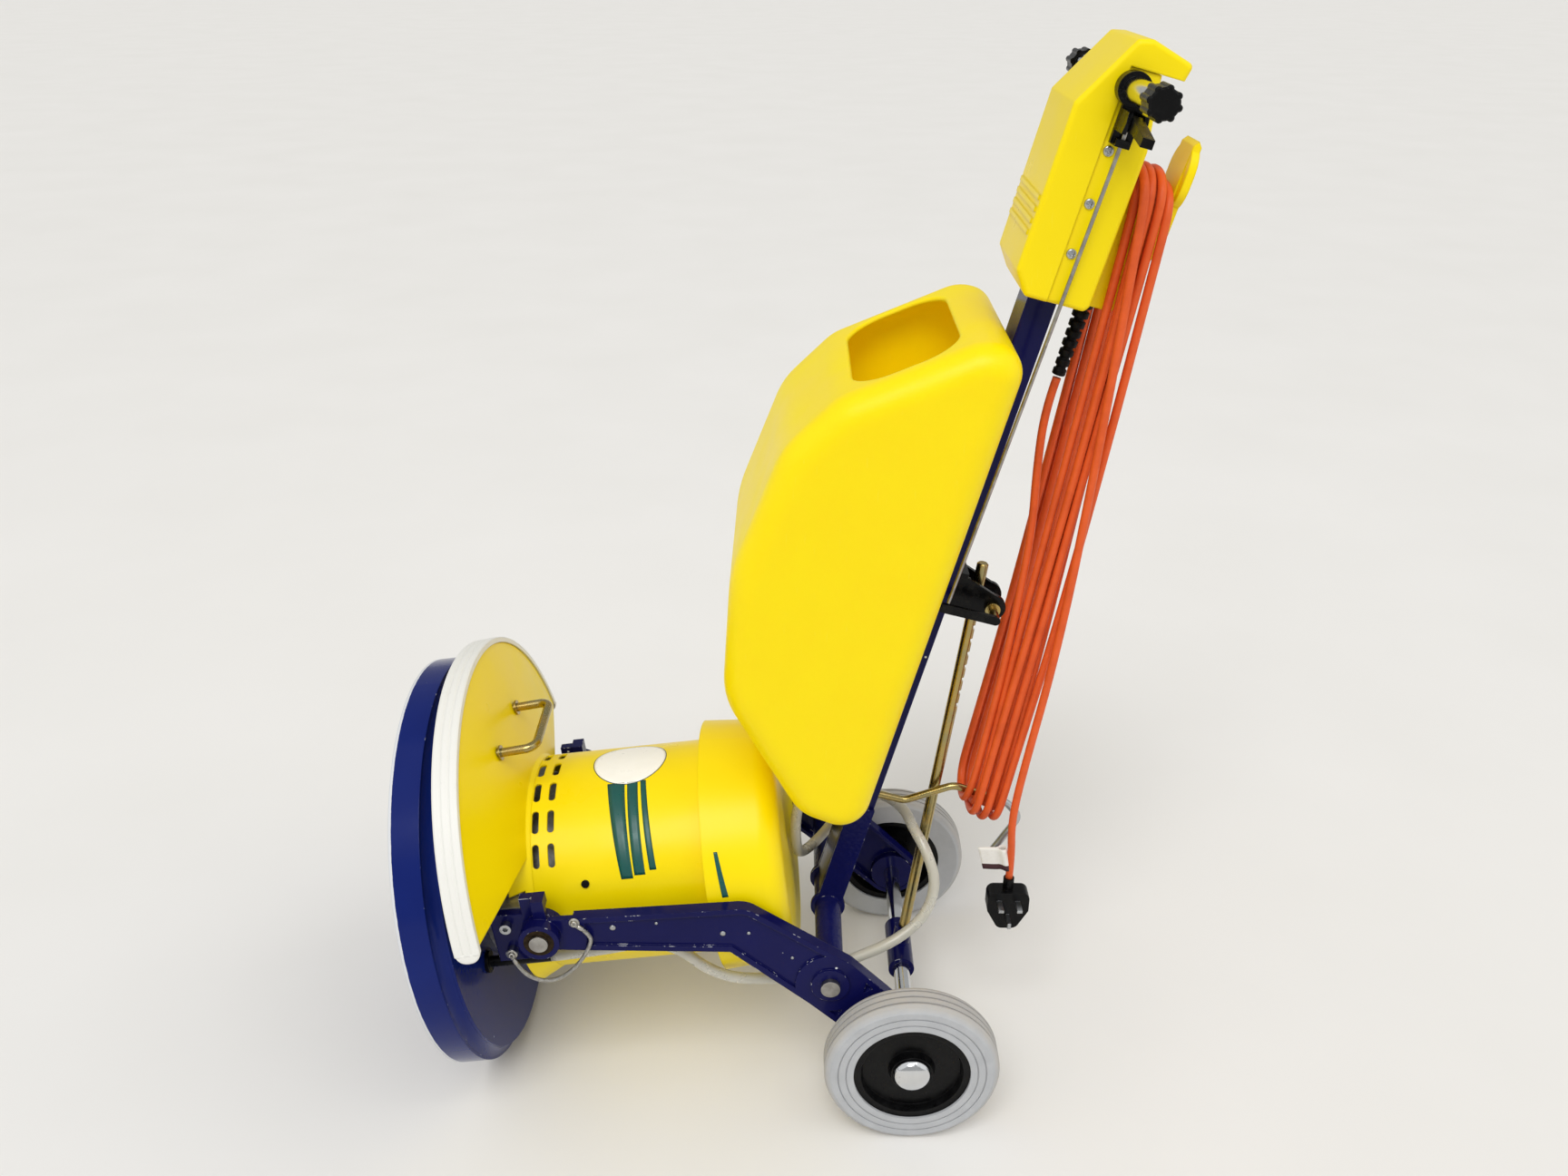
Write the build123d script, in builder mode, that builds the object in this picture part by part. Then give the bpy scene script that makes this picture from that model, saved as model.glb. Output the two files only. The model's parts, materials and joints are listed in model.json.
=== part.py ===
from build123d import *
import os
import numpy
from math import acos, atan2, cos, degrees, hypot, pi, radians, sin, tan

# A single-disc floor scrubber, parked on its two wheels and on the rim of its upturned deck.
# Lengths are millimetres and angles are degrees. X runs from the deck to the wheels, Z is up,
# and Y = 0 is the plane of symmetry, with the near side of the machine towards -Y.

# Fits
FIT = 0.05            # radial clearance of a pressed or bolted round seat
RUN = 0.08            # radial clearance of a running bearing
CLEAR = 0.5           # gap between faces that pass each other
TOUCH = 0.3           # gap between a soft or loose piece and its seat
OVER = 1.0            # cuts and welds run this far past a face

# Stance
WHEEL_R = 100.0       # tyre radius, so the height of the axle
DECK_R = 242.5        # outside of the deck skirt
CAP_U = 406.0         # closed end of the motor cap above the deck's open face
DECK_TILT = 7.5       # motor axis above the horizontal
CAP_GAP = 141.0       # closed end of the motor cap to the axle, measured along the motor
DECK_REACH = CAP_U + CAP_GAP  # axle to the middle of the deck's open face, along X
PIVOT_U = 129.5       # head pivot above the deck's open face
HANDLE_LEAN = 14.8    # handle off the vertical
HANDLE_PIVOT = (-93.5, 90.0)  # handle pivot from the axle, along X and Z

# Wheels and axle
WHEEL_W = 40.0
WHEEL_FACE = 216.0    # outer side of each tyre from the plane of symmetry
HUB_R = 66.5
HUB_RECESS = 3.0      # hub faces stand this far inside the tyre's
TREAD_GROOVE = 2.5
TREAD_GROOVE_HALF = 1.0
TREAD_STEP = 9.0
TREAD_EDGE = [(0, 7.5), (4, 2), (8, 0)]  # in from a side, down from the tread
WALL_RINGS = (8.0, 17.0)  # fine grooves of the side wall, outside the hub
WALL_RING_W = 1.2
HUB_RIM, HUB_CORE, HUB_WEB, HUB_DRAFT = 8.0, 14.0, 7.0, 3.0
HUB_DISH = 9.0
AXLE_R = 10.0
CAP_R = 22.0          # chrome push-on caps of the axle
CAP_H = 11.0
CAP_DOME = [(0, 1), (2, 1), (5, 0.9), (8, 0.7), (10, 0.42)]  # height, share of the radius

# Fork arms
ARM_IN = 152.0        # inner side of each arm from the plane of symmetry
ARM_W = 15.0
ARM_WALL = 5.0
ARM_EMBOSS = 3.0      # pressed-in panel on the outside
ARM_BORDER = 7.0
ARM_PLAIN = (52.0, 40.0, 95.0)  # no panel round the head pivot, the handle pivot and the axle
ARM_KNEE = (-196.0, 166.0)
ARM_TIP_R, ARM_KNEE_R, ARM_HEEL_R, ARM_AXLE_R = 20.0, 30.0, 37.0, 34.0
BOSS_R = 23.0         # head pivot boss
BOSS_FACE = 180.0
BUSH_R = 17.0
PIN_R = 9.0
PIN_HEAD_R = 10.5
PIN_HEAD_T = 2.6
BOLT_R = 10.0         # handle pivot bolt
BOLT_HEAD_R = 11.0
BOLT_HEAD_T = 6.0
BOLT_BOSS_R = 22.0
BOLT_BOSS_T = 3.0
AXLE_BOSS_R = 28.0

# Head brackets
BRACKET_IN = 148.0
BRACKET_T = 10.5
BRACKET_R = 24.0
BRACKET_U = (74.0, 112.0)
BRACKET_H = (-38.0, 27.0)
BRACKET_SWEEP_R = 43.0  # round the pivot, free of the arms' flanges
STOP_H = (33.0, 46.0)  # stop faces above the pivot
STOP_T = 14.0
STOP_OFF = 3.5         # stop face beside the pivot
BRACKET_SCREW_U = 91.5
BRACKET_SCREW_H = (12.0, -23.0)
SCREW_R = 4.0
SCREW_HEAD_R = 6.5
SCREW_HEAD_T = 8.0
SCREW_HEX_R = 3.2
SCREW_REACH = 18.0

# Deck, hood and bumper
DECK_H = 48.0
DECK_WALL = 3.0
DECK_ROUND = 14.0
DECK_HOLE_R = 40.0
HOOD_U = 80.7         # middle of the hood's rim above the deck's open face
HOOD_FRONT = 2.1      # and in front of the deck's axis
HOOD_TILT = 4.0       # the rim dips towards the front
HOOD_R = 253.0
HOOD_RIM = 24.0       # height of the rim flange
HOOD_WALL = 3.0
HOOD_SLOPE = 0.19
HOOD_CUT = 55.0       # the rear edge of the hood, in front of its middle
COLLAR_R = 141.0      # flared collar round the foot of the barrel
COLLAR_U = 93.0
HOOD_UNDER = 30.0     # the cone runs on inside the barrel before it is cut
HOOD_CLEAR = 2.0      # round the lugs of the gear case
BUMPER_T = 7.0
BUMPER_OVER = 2.0
BUMPER_RIB = 1.0
BUMPER_RIB_EDGE = 0.2  # slope of each rib as a share of its width
BUMPER_SHORT = 4.0    # stops ahead of the hood's rear edge
LIFT_ROD_R = 5.2
LIFT_X = 167.0        # lift handle's feet in front of the hood's middle
LIFT_Y = 50.0
LIFT_STAND = 44.0
LIFT_BEND = 13.0
LIFT_SUNK = 9.0       # feet reach below the hood
LIFT_WASHER_R = 8.8
LIFT_WASHER_T = 2.0

# Motor and gear case, on an axis behind the deck's
MOTOR_BACK = 20.0
CASE_R = 98.0
CASE_FLANGE_R = 106.0
CASE_FLANGE_T = 8.0
CASE_WALL = 6.0
CASE_TOP = 112.0
CASE_FLOOR = 12.0
LUG_SHORT = (2.0, 4.0)  # side lugs inside the brackets' ends
PLATE_T = 10.0        # motor plate, which is the lid of the gear case
BARREL_R = 127.3
BARREL_WALL = 3.0
BARREL_U = (119.0, 318.0)
VENT_U = (124.5, 142.5)
VENT_ANGLES = (-56, -38, -20, -2, 16, 34, 52)
VENT_W = 8.0
VENT_L = 27.0
MOTOR_CAP_R = 150.0
MOTOR_CAP_END_R = 143.0
MOTOR_CAP_ROUND = 26.0
FRAME_R = 93.0
FRAME_WALL = 5.0
CORE_U = (146.0, 246.0)
ROTOR_R = 54.2
AIR_GAP = 0.8
WINDING_R = (59.0, 82.0)
WINDING_L = 20.0
BELL_U = 270.0
BELL_T = 10.0
SHAFT_R = 10.0
SHAFT_END = 300.0
FAN_R = 96.0
FAN_U = 284.0
FAN_H = 14.0
FAN_BLADES = 9
FAN_BLADE_R = (31.0, 95.0)
FAN_T = 3.0
FAN_BOSS_R = 18.0
BEARING_R = 21.0
BARREL_SCREW_U = 179.0
BARREL_SCREW_ANGLES = (68, 112, -68, -112)
BARREL_SCREW_R = 2.5
BARREL_SCREW_HEAD_R = 4.6
BARREL_SCREW_HEAD_T = 2.2
BARREL_SCREW_FOOT = 11.5  # foot of each screw hole outside the frame
POST_R = 7.0
CAPACITOR_R = 22.0
CAPACITOR_L = 92.0
CRADLE_T = 4.0
CRADLE_Y = 22.0
CRADLE_OVER = 6.0

# Two-stage reduction gear
STAGE_1 = (16, 50, 1.5)   # pinion teeth, wheel teeth, module
STAGE_2 = (18, 46, 2.0)
GEAR_1_U = (90.0, 104.0)
GEAR_2_U = (64.0, 82.0)
PINION_OVER = 1.0
BACKLASH = 0.3
PRESSURE = 20.0
ADDENDUM, DEDENDUM = 0.8, 1.15
LAYSHAFT_R = 7.0
OUTPUT_R = 12.5
OUTPUT_END = 30.0
OUTPUT_OVER = 4.0
OUTPUT_BEARING_R = 23.5
DRIVE_HUB_R = 60.0
DRIVE_HUB_U = (12.0, 44.0)
DRIVE_FLANGE_T = 10.0
DRIVE_BOSS_R = 26.0
DRIVE_BORE_R = 15.0       # centring bore for the brush
DRIVE_BORE_DEPTH = 14.0
DRIVE_BOLTS = 3
DRIVE_BOLT_R = 4.2
DRIVE_BOLT_CIRCLE = 44.0

# Handle
TUBE_T, TUBE_Y = 30.0, 50.0
TUBE_WALL = 2.5
TUBE_TOP = 972.5
FOOT_TUBE_R = 16.0
FOOT_PLATE_T = 5.0
FOOT_PLATE_S = 150.0
FOOT_BOSS_R = 21.0
TBAR = (2.0, 987.0)   # T-bar axis across and along the handle
TBAR_R = 11.0
TBAR_WALL = 2.0
TBAR_HALF = 170.0
KNOB_R = 13.4
KNOB_LOBE_R = 3.2
KNOB_LOBE_AT = 12.4
KNOB_LOBES = 8
KNOB_CHAMFER = 1.5
KNOB_IN, KNOB_OUT = 158.0, 186.0
CLEVIS_PIN = (64.0, 438.0)
CLEVIS_EAR_R = 15.0
CLEVIS_NOSE = 14.0
CLEVIS_EAR = (14.0, 20.0)
CLEVIS_ROOT = (418.0, 470.0)
CLEVIS_BRIDGE_T = 12.0
PAWL_PIN_R = 5.0
PAWL_R = 7.0
PAWL_HEAD_R = 8.5
PAWL_HEAD_T = 6.0
PAWL_TOOTH = [(-3, -16), (6, -13), (6, 0), (-5, 0)]  # from the pin
CRANK_Y = (47.0, 52.0)
CRANK_T = 8.0         # release rod across the handle
CRANK_HALF = 5.0
CRANK_OVER = 6.0
LOCK_ROD_R = 6.5
LOCK_GUIDE = (47.5, 438.0)
LOCK_OVER = 42.0      # rod beyond the clevis
NOTCHES = 7
NOTCH_PITCH = 17.0
NOTCH_FIRST = 34.0    # below the clevis
NOTCH_DEPTH = 3.0
NOTCH_H = 8.0
LOCK_CHAMFER = 1.5
SLEEVE_R = 16.0
SLEEVE_HALF = 40.0
SLEEVE_SOCKET_R = 11.0
SLEEVE_SOCKET_L = 36.0

# Tank, drawn across and along the handle
TANK_HALF = 138.0
TANK_WALL = 4.0
TANK_EDGE = 28.0
TANK_OUTLINE = [(-15, 176), (-15, 745), (-61, 745), (-178, 655), (-217, 590), (-233, 450), (-205, 306),
                (-89, 186)]
TANK_ROUNDS = [34, 29.5, 46, 60, 90, 160, 90, 50]
MOUTH_NEAR = 20.0     # filler mouth from the top ridge down the sloping face
MOUTH_L = 112.0
MOUTH_HALF = 104.0
MOUTH_DEPTH = 30.0    # the mouth is cut this far to each side of the sloping face
MOUTH_ROUND = 42.0
MOUTH_LIP = 3.0       # rounding of the mouth's outer edge
OUTLET = (-74.0, -22.0)  # outlet across the handle and from the plane of symmetry
OUTLET_R = 9.0
OUTLET_TOP = 196.0
OUTLET_END = 158.0
HOSE_R = 6.5
HOSE_BORE_R = 4.5

# Control housing
HOUSING_HALF = 63.0
REAR_HALF = 61.0      # the rear shell is a step narrower
HOUSING_WALL = 3.0
HOUSING_ROUND = 5.0
HOUSING_SEAM = -5.0
HOUSING_FRONT = [(-5, 783), (-27, 783), (-43, 805), (-43, 962), (-6, 1027), (8, 1030), (50, 1019),
                 (47, 1004), (-5, 1004)]
HOUSING_REAR = [(-5, 783), (34, 783), (38, 789), (38, 938), (26, 1003.5), (-5, 1003.5)]
HOUSING_SCREWS = (833.0, 881.0, 930.0)
HOUSING_SCREW_T = 2.0
HOUSING_SCREW_R = 3.0
HOUSING_SCREW_HEAD_R = 5.0
HOUSING_SCREW_HEAD_T = 2.4
HOUSING_POST_R = 6.5
HOUSING_RIBS = (838.0, 849.0, 860.0, 871.0)
RIB_PROUD = 1.6
RIB_H = 5.0
RIB_SHORT = 8.0       # ribs stop inside the sides
SWITCH_R = 10.0
SWITCH_BEZEL_R = 14.0
SWITCH_PROUD = 6.0
CLEAT_HALF = 21.7
CLEAT_OUTLINE = [(38, 783), (70, 783), (96, 862), (96, 952), (92, 957), (88, 952), (86, 905.7),
                 (38, 905.7)]
BLADE_HALF = 33.0
BLADE_T = (88.0, 96.0)
BLADE_S = (890.0, 952.0)
BLADE_ROUND = 26.0

# Release lever, its clamp on the T-bar and the rod that it pushes
CLAMP_R = 15.5
CLAMP_Y = (63.5, 78.0)
CLAMP_PLATE_T = 6.0
CLAMP_FOOT = 938.0    # lower end of the clamp's plate, along the handle
CLAMP_UNDER = 6.0     # its upper end, below the T-bar's axis
GUIDE_S = (937.0, 944.0)  # ledge that guides the rod
GUIDE_OVER = 6.0
GUIDE_HALF = 7.0
GUIDE_BORE = 40.0
LEVER_PIVOT = (94.0, 960.0)   # from the plane of symmetry and along the handle
LEVER_PIN_R = 3.0
LEVER_W = 11.0
LEVER_TIP = 156.0
LEVER_TIP_H = (-12.0, -4.0)  # above the pivot
LEVER_HEEL_H = (-7.0, 4.0)
LEVER_HEEL_GAP = 1.5
LEVER_LOW = [(0, -8), (12, -6)]  # lower edge from the pivot
LEVER_HIGH = [(12, 5), (0, 7)]
LEVER_EAR = 4.0
EAR_NOSE = [(5, -10), (9, 0), (5, 9)]  # ear's outer end from the pivot
RELEASE_ROD_R = 2.0
RELEASE_TOP = (74.0, 952.0)
RELEASE_FOOT = 445.0

# Mains cord
CORD_R = 4.5
RELIEF_T = 47.5
RELIEF_TOP = 783.0
RELIEF_END = 700.0
RELIEF_R = (9.0, 7.0)
RELIEF_RINGS = 8
RELIEF_RIB = 0.7      # share of each ring that stands proud
RELIEF_GROOVE = 1.2
HOOK_R = 4.5
HOOK_Y = -16.0
HOOK_POINTS = [(15, 166), (48, 166), (98, 202), (166, 195), (187, 180), (171, 120)]
HOOK_BENDS = [18, 22, 22, 12]
LOOPS_IN, LOOPS_OUT = 4, 3
LOOP_STEP = 10.4      # turns side by side on the cleat
LOOP_TOP_T = 47.5     # first turn on the cleat, across the handle
LOOP_FOOT_T = 118.0   # first turn on the wire hook
LOOP_FOOT_STEP = 13.0
LOOP_TOP_S = 884.0    # middle of the turns on the cleat
LOOP_FOOT_S = 204.0   # middle of the turns on the hook
LOOP_R = 27.0
LOOP_LAYER = 9.8      # from one layer of turns to the next
LOOP_BEND = 25.5      # arc radius of the first layer's corners
LEAD_POINTS = [(47.5, 0.0, 700.0), (47.5, 0.0, 664.0), (58.0, -12.0, 604.0), (75.0, -25.0, 534.0),
               (89.0, -31.5, 460.0)]
LEAD_RUN = 90.0       # straight run of the lead above its join
LEAD_JOIN = 300.0     # height along the handle at which the lead becomes the first turn
TAIL_JOIN = (158.0, 245.0)  # end of the last turn, across and along the handle
TAIL_RUN = 55.0       # straight run of the tail below its join
TAIL_DROP = 36.0      # plumb run above the plug
TAIL_END = (195.9, -40.0, 107.5)
PLUG_W, PLUG_L, PLUG_D = 50.0, 52.0, 24.0
PLUG_SHOULDER = 26.0  # full width down to here
PLUG_TIP_W = 22.0
PLUG_ROUND = 9.0
PLUG_BACK_ROUND = 5.0
PLUG_NECK_R = 6.5
PLUG_NECK_L = 16.0
# Across, down, wide, high
PLUG_PINS = [(-11.0, 12.0, 6.3, 4.0), (11.0, 12.0, 6.3, 4.0), (0.0, 34.0, 4.0, 8.0)]
PLUG_PIN_L = 18.0

# Solution hose and earth strap
HOSE_FROM_TANK = [(-74, -22, 158), (-74, -22, 120), (-60, -20, 72), (-48, 1, 43), (-27, 33, 41),
                  (-6, 56, 74), (4, 58, 112),
                  (32, 46, 131), (58, 22, 129), (74, -8, 122), (88, -32, 112), (112, -48, 82),
                  (110, -62, 42), (80, -78, 6),
                  (28, -100, -18), (-2, -112, -32), (-50, -124, -46), (-120, -129, -58)]
HOSE_BESIDE = (9.7, 3.7)  # hose axis outside the barrel, at its cap and at its foot
HOSE_TO_HEAD = [(44.5, -BARREL_R - HOSE_BESIDE[0], 262.0), (60.0, -BARREL_R - HOSE_BESIDE[1], 168.0),
                (60.0, -BARREL_R - HOSE_BESIDE[1], 124.0)]
INLET_FLANGE_R = 13.0
INLET_FLANGE_T = 4.0
STRAP_R = 2.0
STRAP_FACE = 169.6
STRAP_POINTS = [(38.6, 18.7), (57.6, 4.7), (54.6, -14.3), (39.6, -40.3), (19.6, -59.3), (0.6, -63.8),
                (-16.4, -57.3),
                (-27.4, -43.3), (-34.4, -27.3)]  # from the head pivot, along X and Z
STRAP_RING_R = 6.0

os.makedirs("parts", exist_ok=True)


# Frames: the side planes have Y towards the viewer, so offsets from them run to the near side.
tilt_c, tilt_s = cos(radians(DECK_TILT)), sin(radians(DECK_TILT))
hood_c, hood_s = cos(radians(DECK_TILT + HOOD_TILT)), sin(radians(DECK_TILT + HOOD_TILT))
lean_c, lean_s = cos(radians(HANDLE_LEAN)), sin(radians(HANDLE_LEAN))
cleat_t, cleat_s = CLEAT_OUTLINE[3]
front_reach = DECK_REACH + DECK_R * tilt_s
rear_reach = HANDLE_PIVOT[0] + cleat_s * lean_s + cleat_t * lean_c
AXLE_X = (front_reach - rear_reach) / 2
NEAR = (0, -1, 0)
SIDE = Plane(origin=(AXLE_X, 0, WHEEL_R), x_dir=(1, 0, 0), z_dir=NEAR)
HEAD = Plane(origin=(AXLE_X - DECK_REACH, 0, DECK_R * tilt_c), x_dir=(tilt_s, 0, -tilt_c),
             z_dir=(tilt_c, 0, tilt_s))
HEAD_SIDE = Plane(origin=HEAD.origin, x_dir=HEAD.z_dir, z_dir=NEAR)
MOTOR = Plane(origin=HEAD.from_local_coords((MOTOR_BACK, 0, 0)), x_dir=HEAD.x_dir, z_dir=HEAD.z_dir)
MOTOR_SIDE = Plane(origin=MOTOR.origin, x_dir=HEAD.z_dir, z_dir=NEAR)
HOOD = Plane(origin=HEAD.from_local_coords((-HOOD_FRONT, 0, HOOD_U)), x_dir=(hood_s, 0, -hood_c),
             z_dir=(hood_c, 0, hood_s))
HOOD_SIDE = Plane(origin=HOOD.origin, x_dir=HOOD.z_dir, z_dir=NEAR)
HANDLE = Plane(origin=(AXLE_X + HANDLE_PIVOT[0], 0, WHEEL_R + HANDLE_PIVOT[1]),
               x_dir=(lean_c, 0, -lean_s),
               z_dir=(lean_s, 0, lean_c))
HANDLE_SIDE = Plane(origin=HANDLE.origin, x_dir=HANDLE.x_dir, z_dir=NEAR)
WHEEL_HALF = Plane(origin=SIDE.origin, x_dir=NEAR, z_dir=(-1, 0, 0))
pivot_in_side = SIDE.to_local_coords(HEAD.from_local_coords((0, 0, PIVOT_U)))
PIVOT = (pivot_in_side.X, pivot_in_side.Y)


def turn(half, outline, mode=Mode.ADD):
    """Turn an outline of (along, radius) points about the plane's own X axis."""
    with BuildSketch(half) as face:
        with BuildLine():
            Polyline(*outline, close=True)
        make_face()
    revolve(face.sketch, axis=Axis(half.origin, half.x_dir), mode=mode)


def ring(half, along, inner, outer, mode=Mode.ADD):
    """Ring or disc between two places along the plane's own X axis."""
    start, end = along
    turn(half, [(start, inner), (end, inner), (end, outer), (start, outer)], mode)


def plate(side, outline, inner, outer, mode=Mode.ADD, rounds=0):
    """Flat plate drawn on a side plane, between two distances to the near side."""
    with BuildSketch(side.offset(inner)) as face:
        with BuildLine():
            Polyline(*outline, close=True)
        make_face()
        if rounds:
            fillet(face.vertices(), rounds)
    extrude(face.sketch, amount=outer - inner, mode=mode)


def cross(side, point, inner, outer, radius, mode=Mode.ADD):
    """Round bar across the machine, between two distances to the near side."""
    with BuildSketch(side.offset(inner)) as face:
        with Locations(point):
            Circle(radius)
    extrude(face.sketch, amount=outer - inner, mode=mode)


def bar(start, end, radius, mode=Mode.ADD):
    """Round bar between two points."""
    run = Vector(*end) - Vector(*start)
    with BuildSketch(Plane(origin=start, z_dir=run)) as face:
        Circle(radius)
    extrude(face.sketch, amount=run.length, mode=mode)


def on(plane, *points):
    """Points of a plane's own frame, as points of the machine's."""
    return [plane.from_local_coords(point) for point in points]


def rounded_corner(before, corner, after, share=0.45):
    """Largest arc radius that leaves most of the two runs beside a corner free."""
    come, leave = Vector(*corner) - Vector(*before), Vector(*after) - Vector(*corner)
    half_turn = radians(come.get_angle(leave)) / 2
    return share * min(come.length, leave.length) / tan(half_turn)


def tube(points, radii, radius, bore=0):
    """Round tube along straight runs with tangent arcs."""
    with BuildLine() as route:
        FilletPolyline(*points, radius=radii)
    path = route.wire()
    start = Plane(origin=path @ 0, z_dir=path % 0)
    with BuildSketch(start) as face:
        Circle(radius)
        if bore:
            Circle(bore, mode=Mode.SUBTRACT)
    sweep(face.sketch, path=path)
    return path


def soft_radii(points):
    """Arc radii of a cord's route, one for each corner."""
    return [rounded_corner(*points[i - 1:i + 2]) for i in range(1, len(points) - 1)]


def inset(points, distance):
    """Outline, drawn anticlockwise, moved in by a distance on every side."""
    moved = []
    for i, corner in enumerate(points):
        here, before = Vector(*corner), Vector(*points[i - 1])
        after = Vector(*points[(i + 1) % len(points)])
        come, leave = (here - before).normalized(), (after - here).normalized()
        left_1, left_2 = Vector(-come.Y, come.X), Vector(-leave.Y, leave.X)
        spot = here + (left_1 + left_2) * (distance / (1 + left_1.dot(left_2)))
        moved.append((spot.X, spot.Y))
    return moved


def involute(angle):
    return tan(angle) - angle


def gear_outline(teeth, module, start):
    """Spur gear as straight-sided steps along true involute flanks, with a tooth at the start angle."""
    pitch_r = teeth * module / 2
    base_r = pitch_r * cos(radians(PRESSURE))
    radii = [pitch_r - DEDENDUM * module, max(base_r, pitch_r - 0.5 * module), pitch_r,
             pitch_r + ADDENDUM * module]
    half_at_pitch = pi / (2 * teeth) - BACKLASH / (4 * pitch_r)
    flank = []
    for radius in radii:
        lean = involute(acos(min(1, base_r / max(radius, base_r))))
        flank.append((radius, half_at_pitch + involute(radians(PRESSURE)) - lean))
    points = []
    for tooth in range(teeth):
        middle = radians(start) + 2 * pi * tooth / teeth
        points += [(r * cos(middle - half), r * sin(middle - half)) for r, half in flank]
        points += [(r * cos(middle + half), r * sin(middle + half)) for r, half in reversed(flank)]
    return points


def gear(axis_plane, teeth, module, start, along):
    """Gear body between two places along its axis."""
    with BuildSketch(axis_plane.offset(along[0])) as face:
        with BuildLine():
            Polyline(*gear_outline(teeth, module, start), close=True)
        make_face()
    extrude(face.sketch, amount=along[1] - along[0])


# Wheels: grey tyres on black hubs, free on the axle
TYRE_IN, TYRE_OUT = WHEEL_FACE - WHEEL_W, WHEEL_FACE
HUB_IN, HUB_OUT = TYRE_IN + HUB_RECESS, TYRE_OUT - HUB_RECESS
middle = (TYRE_IN + TYRE_OUT) / 2
with BuildPart() as near_tyre:
    near_edge = [(TYRE_OUT - inward, WHEEL_R - down) for inward, down in TREAD_EDGE]
    far_edge = [(TYRE_IN + inward, WHEEL_R - down) for inward, down in TREAD_EDGE]
    turn(WHEEL_HALF, [(TYRE_IN, HUB_R + FIT), (TYRE_OUT, HUB_R + FIT)] + near_edge + far_edge[::-1])
    for groove in (middle - TREAD_STEP, middle, middle + TREAD_STEP):
        ring(WHEEL_HALF, (groove - TREAD_GROOVE_HALF, groove + TREAD_GROOVE_HALF), WHEEL_R - TREAD_GROOVE,
             WHEEL_R + OVER, Mode.SUBTRACT)
    for beyond in WALL_RINGS:
        wall_r = HUB_R + beyond
        ring(WHEEL_HALF, (TYRE_OUT - OVER, TYRE_OUT + OVER), wall_r, wall_r + WALL_RING_W, Mode.SUBTRACT)
with BuildPart() as near_hub:
    rim_r, core_r = HUB_R - HUB_RIM, AXLE_R + HUB_CORE
    dish, web = HUB_OUT - HUB_DISH, HUB_OUT - HUB_DISH - HUB_WEB
    turn(WHEEL_HALF, [(HUB_IN, AXLE_R + RUN), (HUB_OUT, AXLE_R + RUN), (HUB_OUT, core_r),
                      (dish, core_r + HUB_DRAFT),
                      (dish, rim_r - HUB_DRAFT), (HUB_OUT, rim_r), (HUB_OUT, HUB_R), (HUB_IN, HUB_R),
                      (HUB_IN, rim_r),
                      (web, rim_r - HUB_DRAFT), (web, core_r + HUB_DRAFT), (HUB_IN, core_r)])
with BuildPart() as far_tyre:
    mirror(near_tyre.part, about=Plane.XZ)
with BuildPart() as far_hub:
    mirror(near_hub.part, about=Plane.XZ)
with BuildPart() as wheel_axle:
    cross(SIDE, (0, 0), -HUB_OUT, HUB_OUT, AXLE_R)
with BuildPart() as axle_caps:
    cap_seat = HUB_OUT + CLEAR
    dome = [(cap_seat + rise, CAP_R * share) for rise, share in CAP_DOME]
    turn(WHEEL_HALF, [(cap_seat, 0)] + dome + [(cap_seat + CAP_H, 0)])
    mirror(about=Plane.XZ)


# Fork arms: pressed channels, open towards the machine, with the pivot bosses welded in
def arm_outline(grow):
    """Side view of an arm as wraps round its stations, grown by a distance."""
    stations = [(PIVOT, ARM_TIP_R), (ARM_KNEE, ARM_KNEE_R), (HANDLE_PIVOT, ARM_HEEL_R),
                ((0, 0), ARM_AXLE_R)]
    for (start, start_r), (end, end_r) in zip(stations, stations[1:]):
        make_hull([Edge.make_circle(start_r + grow, Plane(origin=(*start, 0))),
                   Edge.make_circle(end_r + grow, Plane(origin=(*end, 0)))])


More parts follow.
